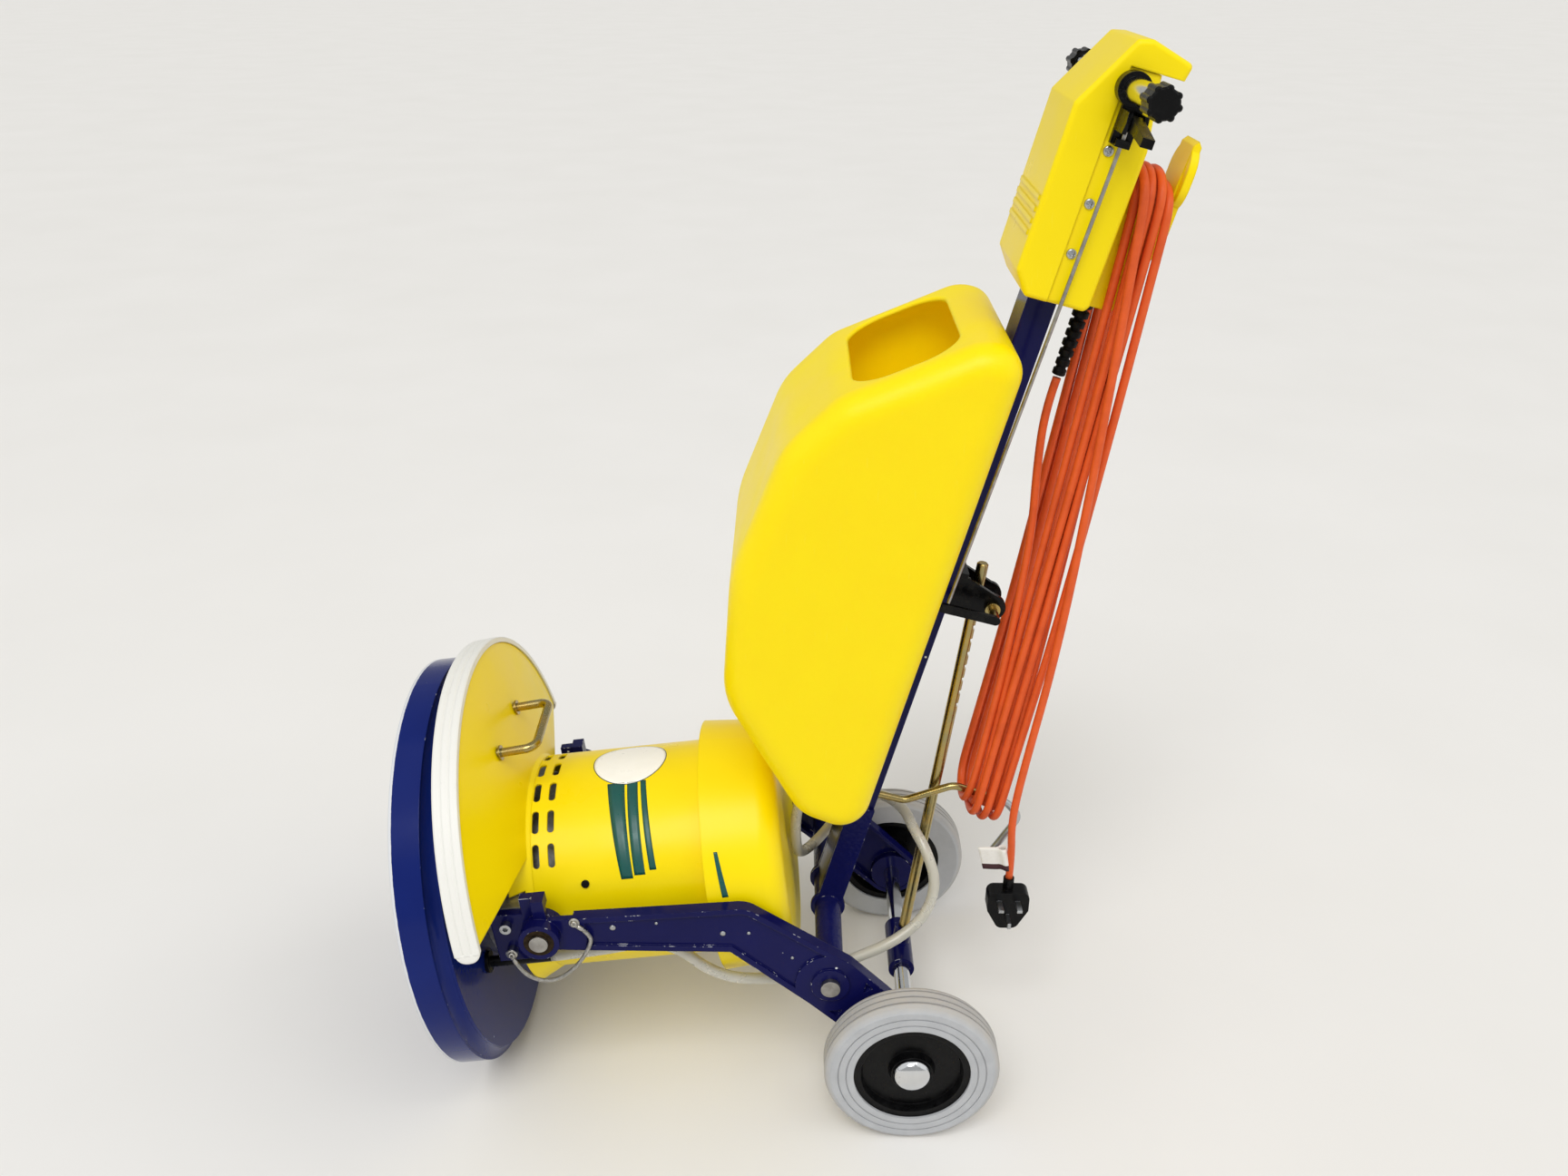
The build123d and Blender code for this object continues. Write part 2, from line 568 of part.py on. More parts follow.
ARM_OUT = ARM_IN + ARM_W
BRACKET_OUT = BRACKET_IN + BRACKET_T
stop_u = PIVOT_U - STOP_OFF
with BuildPart() as near_arm:
    with BuildSketch(SIDE.offset(ARM_IN)):
        arm_outline(0)
    extrude(amount=ARM_W)
    with BuildSketch(SIDE.offset(ARM_IN)):
        arm_outline(-ARM_WALL)
    extrude(amount=ARM_W - ARM_WALL, mode=Mode.SUBTRACT)
    with BuildSketch(SIDE.offset(ARM_OUT)):
        arm_outline(-ARM_BORDER)
        for spot, plain_r in zip((PIVOT, HANDLE_PIVOT, (0, 0)), ARM_PLAIN):
            with Locations(spot):
                Circle(plain_r, mode=Mode.SUBTRACT)
    extrude(amount=-ARM_EMBOSS, mode=Mode.SUBTRACT)
    cross(SIDE, PIVOT, ARM_IN, BRACKET_OUT + CLEAR, BRACKET_SWEEP_R, Mode.SUBTRACT)
    cross(SIDE, PIVOT, BRACKET_OUT + CLEAR, BOSS_FACE, BOSS_R)
    cross(SIDE, HANDLE_PIVOT, ARM_IN, ARM_OUT + BOLT_BOSS_T, BOLT_BOSS_R)
    cross(SIDE, (0, 0), ARM_IN, HUB_IN - CLEAR, AXLE_BOSS_R)
    lug_u = (stop_u + TOUCH, stop_u + TOUCH + STOP_T)
    plate(HEAD_SIDE, [(lug_u[0], 0), (lug_u[1], 0), (lug_u[1], STOP_H[1]), (lug_u[0], STOP_H[1])],
          BRACKET_OUT + CLEAR, ARM_OUT)
    plate(HEAD_SIDE, [(lug_u[0], STOP_H[0]), (lug_u[1], STOP_H[0]), (lug_u[1], STOP_H[1]),
                      (lug_u[0], STOP_H[1])],
          BRACKET_IN, ARM_OUT)
    cross(SIDE, PIVOT, ARM_IN, BOSS_FACE, BUSH_R + FIT, Mode.SUBTRACT)
    cross(SIDE, HANDLE_PIVOT, ARM_IN, ARM_OUT + BOLT_BOSS_T, BOLT_R + FIT, Mode.SUBTRACT)
    cross(SIDE, (0, 0), ARM_IN, HUB_IN, AXLE_R + FIT, Mode.SUBTRACT)
with BuildPart() as far_arm:
    mirror(near_arm.part, about=Plane.XZ)
with BuildPart() as pivot_bushes:
    cross(SIDE, PIVOT, BRACKET_OUT + CLEAR, BOSS_FACE, BUSH_R)
    cross(SIDE, PIVOT, BRACKET_OUT + CLEAR, BOSS_FACE, PIN_R + RUN, Mode.SUBTRACT)
    mirror(about=Plane.XZ)
bolt_seat = ARM_OUT + BOLT_BOSS_T
with BuildPart() as handle_pivot_bolt:
    cross(SIDE, HANDLE_PIVOT, -bolt_seat, bolt_seat, BOLT_R)
    for head in (bolt_seat, -bolt_seat - BOLT_HEAD_T):
        cross(SIDE, HANDLE_PIVOT, head, head + BOLT_HEAD_T, BOLT_HEAD_R)

# Head brackets, pins and screws
with BuildPart() as pivot_brackets:
    (u0, u1), (h0, h1) = BRACKET_U, BRACKET_H
    plate(HEAD_SIDE, [(u0, h0), (u1, h0), (PIVOT_U, -BRACKET_R), (PIVOT_U, BRACKET_R), (u0, h1)],
          BRACKET_IN, BRACKET_OUT)
    plate(HEAD_SIDE, [(stop_u - STOP_T, 0), (stop_u, 0), (stop_u, STOP_H[1]),
                      (stop_u - STOP_T, STOP_H[1])],
          BRACKET_IN, BRACKET_OUT)
    cross(HEAD_SIDE, (PIVOT_U, 0), BRACKET_IN, BRACKET_OUT, BRACKET_R)
    cross(HEAD_SIDE, (PIVOT_U, 0), BRACKET_IN, BRACKET_OUT, PIN_R + FIT, Mode.SUBTRACT)
    for screw_h in BRACKET_SCREW_H:
        cross(HEAD_SIDE, (BRACKET_SCREW_U, screw_h), BRACKET_IN, BRACKET_OUT, SCREW_R + FIT,
              Mode.SUBTRACT)
    mirror(about=Plane.XZ)
with BuildPart() as pivot_pins:
    cross(HEAD_SIDE, (PIVOT_U, 0), BRACKET_IN - PIN_HEAD_T, BRACKET_IN, PIN_HEAD_R)
    cross(HEAD_SIDE, (PIVOT_U, 0), BRACKET_IN, BOSS_FACE + TOUCH + PIN_HEAD_T, PIN_R)
    cross(HEAD_SIDE, (PIVOT_U, 0), BOSS_FACE + TOUCH, BOSS_FACE + TOUCH + PIN_HEAD_T, PIN_HEAD_R)
    mirror(about=Plane.XZ)
# Deck: a pressed pan whose open face holds the brush
with BuildPart() as deck:
    inside = DECK_R - DECK_WALL
    with BuildSketch(HEAD_SIDE):
        with BuildLine():
            Polyline((0, inside), (0, DECK_R), (DECK_H - DECK_ROUND, DECK_R))
            RadiusArc((DECK_H - DECK_ROUND, DECK_R), (DECK_H, DECK_R - DECK_ROUND), -DECK_ROUND)
            Polyline((DECK_H, DECK_R - DECK_ROUND), (DECK_H, DECK_HOLE_R),
                     (DECK_H - DECK_WALL, DECK_HOLE_R),
                     (DECK_H - DECK_WALL, DECK_R - DECK_ROUND))
            RadiusArc((DECK_H - DECK_WALL, DECK_R - DECK_ROUND), (DECK_H - DECK_ROUND, inside),
                      DECK_ROUND - DECK_WALL)
            Line((DECK_H - DECK_ROUND, inside), (0, inside))
        make_face()
    revolve(axis=Axis(HEAD.origin, HEAD.z_dir))
    bar(*on(HEAD, (*HOSE_TO_HEAD[-1][:2], 0), (*HOSE_TO_HEAD[-1][:2], DECK_H + OVER)), HOSE_BORE_R,
        Mode.SUBTRACT)

# Gear train: the layshaft lies where both centre distances meet
centre_1 = (STAGE_1[0] + STAGE_1[1]) * STAGE_1[2] / 2
centre_2 = (STAGE_2[0] + STAGE_2[1]) * STAGE_2[2] / 2
lay_x = (centre_2 ** 2 - centre_1 ** 2 + MOTOR_BACK ** 2) / (2 * MOTOR_BACK)
lay_y = (centre_2 ** 2 - lay_x ** 2) ** 0.5
LAYSHAFT = Plane(origin=HEAD.from_local_coords((lay_x, lay_y, 0)), x_dir=HEAD.x_dir, z_dir=HEAD.z_dir)
LAYSHAFT_SIDE = Plane(origin=LAYSHAFT.origin, x_dir=HEAD.z_dir, z_dir=NEAR)

to_motor = degrees(atan2(-lay_y, MOTOR_BACK - lay_x))
to_output = degrees(atan2(-lay_y, -lay_x))

# Gear case, with side lugs that the brackets are screwed to
LUG_U = (BRACKET_U[0] + LUG_SHORT[0], BRACKET_U[1] - LUG_SHORT[1])
floor_u = DECK_H + CASE_FLOOR
LAYSHAFT_ENDS = (floor_u - CASE_FLOOR / 2, CASE_TOP + PLATE_T / 2)
with BuildPart() as gearbox_case:
    ring(MOTOR_SIDE, (DECK_H, DECK_H + CASE_FLANGE_T), 0, CASE_FLANGE_R)
    ring(MOTOR_SIDE, (DECK_H, CASE_TOP), 0, CASE_R)
    (u0, u1), (h0, h1) = LUG_U, BRACKET_H
    for inner, outer in ((0, BRACKET_IN), (-BRACKET_IN, 0)):
        plate(HEAD_SIDE, [(u0, h0), (u1, h0), (u1, h1), (u0, h1)], inner, outer)
    ring(MOTOR_SIDE, (DECK_H + CASE_FLOOR, CASE_TOP), 0, CASE_R - CASE_WALL, Mode.SUBTRACT)
    ring(HEAD_SIDE, (DECK_H, DECK_H + CASE_FLOOR), 0, OUTPUT_BEARING_R + FIT, Mode.SUBTRACT)
    ring(LAYSHAFT_SIDE, LAYSHAFT_ENDS, 0, LAYSHAFT_R + RUN, Mode.SUBTRACT)
    for screw_h in BRACKET_SCREW_H:
        for end in (BRACKET_IN - SCREW_REACH, -BRACKET_IN):
            cross(HEAD_SIDE, (BRACKET_SCREW_U, screw_h), end, end + SCREW_REACH, SCREW_R + FIT,
                  Mode.SUBTRACT)

with BuildPart() as layshaft:
    gear(LAYSHAFT, STAGE_1[1], STAGE_1[2], to_motor, GEAR_1_U)
    gear(LAYSHAFT, STAGE_2[0], STAGE_2[2], to_output, (GEAR_2_U[0] - PINION_OVER,
                                                       GEAR_2_U[1] + PINION_OVER))
    ring(LAYSHAFT_SIDE, (LAYSHAFT_ENDS[0] + TOUCH, LAYSHAFT_ENDS[1] - TOUCH), 0, LAYSHAFT_R)
with BuildPart() as output_gear:
    gear(HEAD, STAGE_2[1], STAGE_2[2], to_output + 180 + 180 / STAGE_2[1], GEAR_2_U)
    ring(HEAD_SIDE, (OUTPUT_END, GEAR_2_U[1] + OUTPUT_OVER), 0, OUTPUT_R)
with BuildPart() as rotor_shaft:
    gear(MOTOR, STAGE_1[0], STAGE_1[2], to_motor + 180 + 180 / STAGE_1[0],
         (GEAR_1_U[0] - PINION_OVER, GEAR_1_U[1] + PINION_OVER))
    ring(MOTOR_SIDE, (GEAR_1_U[1], SHAFT_END), 0, SHAFT_R)
with BuildPart() as motor_plate:
    ring(MOTOR_SIDE, (CASE_TOP, CASE_TOP + PLATE_T), BEARING_R + FIT, CASE_R)
    ring(LAYSHAFT_SIDE, LAYSHAFT_ENDS, 0, LAYSHAFT_R + RUN, Mode.SUBTRACT)
with BuildPart() as bearings:
    ring(HEAD_SIDE, (DECK_H, floor_u), OUTPUT_R + RUN, OUTPUT_BEARING_R)
    ring(MOTOR_SIDE, (CASE_TOP, CASE_TOP + PLATE_T), SHAFT_R + RUN, BEARING_R)
    ring(MOTOR_SIDE, (BELL_U, BELL_U + BELL_T), SHAFT_R + RUN, BEARING_R)
with BuildPart() as drive_hub:
    face_u, back_u = DRIVE_HUB_U
    ring(HEAD_SIDE, (face_u, back_u), 0, DRIVE_BOSS_R)
    ring(HEAD_SIDE, (face_u, face_u + DRIVE_FLANGE_T), 0, DRIVE_HUB_R)
    ring(HEAD_SIDE, (OUTPUT_END - TOUCH, back_u), 0, OUTPUT_R + FIT, Mode.SUBTRACT)
    ring(HEAD_SIDE, (face_u, face_u + DRIVE_BORE_DEPTH), 0, DRIVE_BORE_R, Mode.SUBTRACT)
    with BuildSketch(HEAD.offset(face_u)):
        with PolarLocations(DRIVE_BOLT_CIRCLE, DRIVE_BOLTS):
            Circle(DRIVE_BOLT_R)
    extrude(amount=DRIVE_FLANGE_T, mode=Mode.SUBTRACT)


def barrel_screw_line(angle, from_r, to_r):
    """Ends of a radial line on the motor's axis, at an angle from the front towards the near side."""
    a = radians(angle)
    return on(MOTOR, *[(-r * cos(a), -r * sin(a), BARREL_SCREW_U) for r in (from_r, to_r)])


# Motor
STATOR_R = FRAME_R - FRAME_WALL
with BuildPart() as stator_core:
    ring(MOTOR_SIDE, CORE_U, ROTOR_R + AIR_GAP, STATOR_R - FIT)
with BuildPart() as stator_windings:
    ring(MOTOR_SIDE, (CORE_U[0] - WINDING_L, CORE_U[0]), *WINDING_R)
    ring(MOTOR_SIDE, (CORE_U[1], CORE_U[1] + WINDING_L), *WINDING_R)
with BuildPart() as rotor_core:
    ring(MOTOR_SIDE, CORE_U, SHAFT_R + FIT, ROTOR_R)
screw_holes = [barrel_screw_line(angle, FRAME_R + BARREL_SCREW_FOOT,
                                 BARREL_R + OVER) for angle in BARREL_SCREW_ANGLES]
with BuildPart() as motor_frame:
    for angle in BARREL_SCREW_ANGLES:
        bar(*barrel_screw_line(angle, FRAME_R - FRAME_WALL / 2, BARREL_R - BARREL_WALL - TOUCH), POST_R)
    ring(MOTOR_SIDE, (CORE_U[0], CORE_U[1]), 0, STATOR_R, Mode.SUBTRACT)
    ring(MOTOR_SIDE, (CASE_TOP + PLATE_T, BELL_U), STATOR_R, FRAME_R)
    for line in screw_holes:
        bar(*line, BARREL_SCREW_R + FIT, Mode.SUBTRACT)
with BuildPart() as motor_end_bell:
    ring(MOTOR_SIDE, (BELL_U, BELL_U + BELL_T), BEARING_R + FIT, FRAME_R)
with BuildPart() as cooling_fan:
    ring(MOTOR_SIDE, (FAN_U, FAN_U + FAN_T), SHAFT_R + FIT, FAN_R)
    ring(MOTOR_SIDE, (FAN_U, FAN_U + FAN_H), SHAFT_R + FIT, FAN_BOSS_R)
    with BuildSketch(MOTOR.offset(FAN_U)):
        with PolarLocations(sum(FAN_BLADE_R) / 2, FAN_BLADES):
            Rectangle(FAN_BLADE_R[1] - FAN_BLADE_R[0], FAN_T)
    extrude(amount=FAN_H)

with BuildPart() as head_screws:
    for screw_h in BRACKET_SCREW_H:
        spot = (BRACKET_SCREW_U, screw_h)
        cross(HEAD_SIDE, spot, BRACKET_OUT - SCREW_REACH, BRACKET_OUT, SCREW_R)
        cross(HEAD_SIDE, spot, BRACKET_OUT, BRACKET_OUT + SCREW_HEAD_T, SCREW_HEAD_R)
        with BuildSketch(HEAD_SIDE.offset(BRACKET_OUT + SCREW_HEAD_T)):
            with Locations(spot):
                RegularPolygon(SCREW_HEX_R, 6)
        extrude(amount=-SCREW_HEAD_T / 2, mode=Mode.SUBTRACT)
    mirror(about=Plane.XZ)
    for angle in BARREL_SCREW_ANGLES:
        bar(*barrel_screw_line(angle, FRAME_R + BARREL_SCREW_FOOT + CLEAR, BARREL_R + TOUCH),
            BARREL_SCREW_R)
        bar(*barrel_screw_line(angle, BARREL_R + TOUCH, BARREL_R + BARREL_SCREW_HEAD_T),
            BARREL_SCREW_HEAD_R)
with BuildPart() as motor_barrel:
    ring(MOTOR_SIDE, BARREL_U, BARREL_R - BARREL_WALL, BARREL_R)
    for line in screw_holes:
        bar(*line, BARREL_SCREW_R + FIT, Mode.SUBTRACT)
    for vent_u in VENT_U:
        for angle in VENT_ANGLES:
            a = radians(angle)
            outward = MOTOR.x_dir * -cos(a) + MOTOR.y_dir * -sin(a)
            start = MOTOR.from_local_coords((0, 0, vent_u)) + outward * (BARREL_R - 3 * BARREL_WALL)
            with BuildSketch(Plane(origin=start, x_dir=MOTOR.z_dir, z_dir=outward)):
                SlotOverall(VENT_L, VENT_W, rotation=90)
            extrude(amount=5 * BARREL_WALL, mode=Mode.SUBTRACT)
with BuildPart() as motor_cap:
    start_u = BARREL_U[1]
    turn(MOTOR_SIDE, [(start_u, 0), (start_u, MOTOR_CAP_R), (CAP_U, MOTOR_CAP_END_R), (CAP_U, 0)])
    fillet(motor_cap.edges().filter_by(GeomType.CIRCLE).group_by(Axis(HEAD.origin, HEAD.z_dir))[-1],
           MOTOR_CAP_ROUND)
    nip = 1 - cos(pi / 4)
    inner_u, inner_r = CAP_U - BARREL_WALL, MOTOR_CAP_END_R - BARREL_WALL
    bend = MOTOR_CAP_ROUND - BARREL_WALL
    turn(MOTOR_SIDE, [(start_u + BARREL_WALL, 0), (start_u + BARREL_WALL, MOTOR_CAP_R - BARREL_WALL),
                      (inner_u - bend, inner_r), (inner_u - bend * nip, inner_r - bend * nip),
                      (inner_u, inner_r - bend),
                      (inner_u, 0)], Mode.SUBTRACT)
    ring(MOTOR_SIDE, (start_u, start_u + BARREL_WALL), 0, BARREL_R - 2 * BARREL_WALL, Mode.SUBTRACT)
    store_u, rib_half = inner_u - CAPACITOR_R - TOUCH, CAPACITOR_R + CRADLE_OVER
    for rib_y in (CRADLE_Y, -CRADLE_Y - CRADLE_T):
        plate(MOTOR_SIDE, [(store_u, -rib_half), (inner_u, -rib_half), (inner_u, rib_half),
                           (store_u, rib_half)],
              rib_y, rib_y + CRADLE_T)
    cross(MOTOR_SIDE, (store_u, 0), -CAPACITOR_L / 2, CAPACITOR_L / 2, CAPACITOR_R + TOUCH / 2,
          Mode.SUBTRACT)
with BuildPart() as run_capacitor:
    cross(MOTOR_SIDE, (store_u, 0), -CAPACITOR_L / 2, CAPACITOR_L / 2, CAPACITOR_R)

# Hood: a shallow cone over the front of the deck, with a collar round the foot of the barrel
RIM_TOP = HOOD_RIM / 2


def hood_height(radius):
    """Height of the hood's outer face above its middle plane."""
    return RIM_TOP + HOOD_SLOPE * (HOOD_R - radius)


with BuildPart() as hood:
    inner_r = BARREL_R - HOOD_UNDER
    turn(HOOD_SIDE, [(-RIM_TOP, HOOD_R - HOOD_WALL), (-RIM_TOP, HOOD_R), (RIM_TOP, HOOD_R),
                     (hood_height(inner_r), inner_r),
                     (hood_height(inner_r) - HOOD_WALL, inner_r),
                     (RIM_TOP - HOOD_WALL, HOOD_R - HOOD_WALL)])
    split(bisect_by=Plane(origin=HOOD.from_local_coords((-HOOD_CUT, 0, 0)), z_dir=HOOD.x_dir),
          keep=Keep.BOTTOM)
    turn(MOTOR_SIDE, [(COLLAR_U, COLLAR_R - HOOD_WALL), (COLLAR_U, COLLAR_R), (BARREL_U[0], BARREL_R),
                      (BARREL_U[0], BARREL_R - HOOD_WALL)])
    turn(MOTOR_SIDE, [(0, 0), (0, COLLAR_R - HOOD_WALL), (COLLAR_U, COLLAR_R - HOOD_WALL),
                      (BARREL_U[0], BARREL_R - HOOD_WALL),
                      (BARREL_U[1], BARREL_R - HOOD_WALL), (BARREL_U[1], 0)], Mode.SUBTRACT)
    notch_low, notch_high = BRACKET_H[0] - HOOD_CLEAR, BRACKET_H[1] + HOOD_CLEAR
    notch_u = LUG_U[1] + HOOD_CLEAR
    plate(HEAD_SIDE, [(0, notch_low), (notch_u, notch_low), (notch_u, notch_high), (0, notch_high)],
          -BRACKET_IN, BRACKET_IN, Mode.SUBTRACT)
    bar(*on(HEAD, (*HOSE_TO_HEAD[-1][:2], DECK_H), HOSE_TO_HEAD[-1]), HOSE_R + TOUCH, Mode.SUBTRACT)
    for foot_y in (LIFT_Y, -LIFT_Y):
        foot = (-LIFT_X, foot_y, 0)
        bar(*on(HOOD, foot, (-LIFT_X, foot_y, HOOD_R / 2)), LIFT_ROD_R + TOUCH / 2, Mode.SUBTRACT)
with BuildPart() as bumper:
    lip, outer = HOOD_R + TOUCH, HOOD_R + BUMPER_T
    low, high = -RIM_TOP - BUMPER_OVER, RIM_TOP + BUMPER_OVER
    third = (high - low) / 3
    ribs = [(low, lip), (low, outer - BUMPER_RIB)]
    for rib in range(3):
        ribs += [(low + third * (rib + BUMPER_RIB_EDGE), outer),
                 (low + third * (rib + 1 - BUMPER_RIB_EDGE), outer),
                 (low + third * (rib + 1), outer - BUMPER_RIB)]
    turn(HOOD_SIDE, ribs + [(high, lip)])
    split(bisect_by=Plane(origin=HOOD.from_local_coords((-HOOD_CUT + BUMPER_SHORT, 0, 0)),
                          z_dir=HOOD.x_dir), keep=Keep.BOTTOM)
lift_base = hood_height(hypot(LIFT_X, LIFT_Y))
LIFT_TOP = lift_base + LIFT_STAND
with BuildPart() as lift_handle:
    feet = on(HOOD, (-LIFT_X, -LIFT_Y, lift_base - LIFT_SUNK), (-LIFT_X, -LIFT_Y, LIFT_TOP),
              (-LIFT_X, LIFT_Y, LIFT_TOP),
              (-LIFT_X, LIFT_Y, lift_base - LIFT_SUNK))
    tube(feet, LIFT_BEND, LIFT_ROD_R)
    washer_rise = HOOD_SLOPE * 2 * LIFT_ROD_R
    for foot_y in (LIFT_Y, -LIFT_Y):
        bar(*on(HOOD, (-LIFT_X, foot_y, lift_base + washer_rise),
                (-LIFT_X, foot_y, lift_base + washer_rise + LIFT_WASHER_T)),
            LIFT_WASHER_R)

# Handle tube and its welded foot on the pivot bolt
with BuildPart() as handle_tube:
    with BuildSketch(HANDLE.offset(FOOT_TUBE_R + TOUCH)) as section:
        Rectangle(TUBE_T, TUBE_Y)
        fillet(section.vertices(), TUBE_WALL)
        Rectangle(TUBE_T - 2 * TUBE_WALL, TUBE_Y - 2 * TUBE_WALL, mode=Mode.SUBTRACT)
    extrude(amount=TUBE_TOP - FOOT_TUBE_R - TOUCH)
    for screw_s in HOUSING_SCREWS:
        cross(HANDLE_SIDE, (HOUSING_SCREW_T, screw_s), -TUBE_Y, TUBE_Y, HOUSING_SCREW_R + FIT,
              Mode.SUBTRACT)
with BuildPart() as handle_foot:
    cross(HANDLE_SIDE, (0, 0), -ARM_IN + CLEAR, ARM_IN - CLEAR, FOOT_TUBE_R)
    half = TUBE_T / 2
    for inner in (TUBE_Y / 2, -TUBE_Y / 2 - FOOT_PLATE_T):
        plate(HANDLE_SIDE, [(-half, 0), (half, 0), (half, FOOT_PLATE_S), (-half, FOOT_PLATE_S)], inner,
              inner + FOOT_PLATE_T)
        cross(HANDLE_SIDE, (0, 0), inner, inner + FOOT_PLATE_T, FOOT_BOSS_R)
    cross(HANDLE_SIDE, (0, 0), -ARM_IN, ARM_IN, BOLT_R + RUN, Mode.SUBTRACT)

# Clevis, pawl and the notched rod that sets the height of the handle
rod_foot = HANDLE.to_local_coords(SIDE.origin)
rod_line = Vector(LOCK_GUIDE[0] - rod_foot.X, LOCK_GUIDE[1] - rod_foot.Z)
rod_way = rod_line.normalized()
LOCK_SIDE = Plane(origin=SIDE.origin, x_dir=HANDLE.x_dir * rod_way.X + HANDLE.z_dir * rod_way.Y,
                  z_dir=NEAR)
LOCK_END = rod_line.length + LOCK_OVER
with BuildPart() as clevis:
    ear_in, ear_out = CLEVIS_EAR
    root_low, root_high = CLEVIS_ROOT
    for inner, outer in ((ear_in, ear_out), (-ear_out, -ear_in)):
        with BuildSketch(HANDLE_SIDE.offset(inner)):
            with BuildLine():
                Polyline((TUBE_T / 2, root_low), (CLEVIS_PIN[0] - CLEVIS_NOSE,
                                                  CLEVIS_PIN[1] - CLEVIS_EAR_R),
                         (CLEVIS_PIN[0], CLEVIS_PIN[1] - CLEVIS_EAR_R),
                         (CLEVIS_PIN[0], CLEVIS_PIN[1] + CLEVIS_EAR_R),
                         (TUBE_T / 2, root_high), close=True)
            make_face()
            with Locations(CLEVIS_PIN):
                Circle(CLEVIS_EAR_R)
        extrude(amount=outer - inner)
    half = TUBE_T / 2
    plate(HANDLE_SIDE, [(half, root_low), (half + CLEVIS_BRIDGE_T, root_low),
                        (half + CLEVIS_BRIDGE_T, root_high),
                        (half, root_high)], -ear_out, ear_out)
    cross(HANDLE_SIDE, CLEVIS_PIN, -ear_out, ear_out, PAWL_PIN_R + RUN, Mode.SUBTRACT)
with BuildPart() as pawl:
    crank_in, crank_out = CRANK_Y
    cross(HANDLE_SIDE, CLEVIS_PIN, -ear_out, crank_out, PAWL_PIN_R)
    cross(HANDLE_SIDE, CLEVIS_PIN, -ear_in + CLEAR, ear_in - CLEAR, PAWL_R)
    cross(HANDLE_SIDE, CLEVIS_PIN, ear_out + CLEAR, ear_out + CLEAR + PAWL_HEAD_T, PAWL_HEAD_R)
    cross(HANDLE_SIDE, CLEVIS_PIN, -ear_out - CLEAR - PAWL_HEAD_T, -ear_out, PAWL_PIN_R)
    cross(HANDLE_SIDE, CLEVIS_PIN, -ear_out - CLEAR - PAWL_HEAD_T, -ear_out - CLEAR, PAWL_HEAD_R)
    crank_low, crank_high = CLEVIS_PIN[1] - CRANK_HALF, CLEVIS_PIN[1] + CRANK_HALF
    plate(HANDLE_SIDE, [(CRANK_T - CRANK_OVER, crank_low), (CLEVIS_PIN[0], crank_low),
                        (CLEVIS_PIN[0], crank_high),
                        (CRANK_T - CRANK_OVER, crank_high)], crank_in, crank_out)
    tooth = [(CLEVIS_PIN[0] + t, CLEVIS_PIN[1] + along) for t, along in PAWL_TOOTH]
    plate(HANDLE_SIDE, tooth, -ear_in + CLEAR, ear_in - CLEAR)
with BuildPart() as lock_rod:
    ring(LOCK_SIDE, (SLEEVE_R + TOUCH, LOCK_END), 0, LOCK_ROD_R)
    chamfer(lock_rod.edges().group_by(Axis(LOCK_SIDE.origin, LOCK_SIDE.x_dir))[-1], LOCK_CHAMFER)
    for notch in range(NOTCHES):
        notch_u = rod_line.length - NOTCH_FIRST - NOTCH_PITCH * notch
        plate(LOCK_SIDE, [(notch_u - NOTCH_H, -LOCK_ROD_R - OVER), (notch_u, -LOCK_ROD_R - OVER),
                          (notch_u, -LOCK_ROD_R + NOTCH_DEPTH),
                          (notch_u - NOTCH_H / 2, -LOCK_ROD_R + NOTCH_DEPTH)],
              -LOCK_ROD_R - OVER, LOCK_ROD_R + OVER, Mode.SUBTRACT)
with BuildPart() as axle_sleeve:
    cross(SIDE, (0, 0), -SLEEVE_HALF, SLEEVE_HALF, SLEEVE_R)
    ring(LOCK_SIDE, (0, SLEEVE_SOCKET_L), 0, SLEEVE_SOCKET_R)
    ring(LOCK_SIDE, (SLEEVE_R, SLEEVE_SOCKET_L), 0, LOCK_ROD_R + FIT, Mode.SUBTRACT)
    cross(SIDE, (0, 0), -SLEEVE_HALF, SLEEVE_HALF, AXLE_R + RUN, Mode.SUBTRACT)


# Tank: one moulding with a wide mouth in its sloping top
def tank_body(shrink):
    """Solid of the tank's outline drawn in by a distance, with rounded sides."""
    with BuildPart() as body:
        with BuildSketch(HANDLE_SIDE):
            with BuildLine():
                FilletPolyline(*inset(TANK_OUTLINE, shrink), radius=[r - shrink for r in TANK_ROUNDS],
                               close=True)
            make_face()
        extrude(amount=TANK_HALF - shrink, both=True)
        fillet(body.faces().filter_by(Axis.Y).edges(), TANK_EDGE - shrink)
    return body.part


def on_mouth(spot):
    """Whether a spot of the mouth's own plane lies on its outer edge."""
    return abs(spot.Z) < TOUCH and abs(spot.X) < MOUTH_L / 2 + TOUCH and abs(spot.Y) < MOUTH_HALF + TOUCH


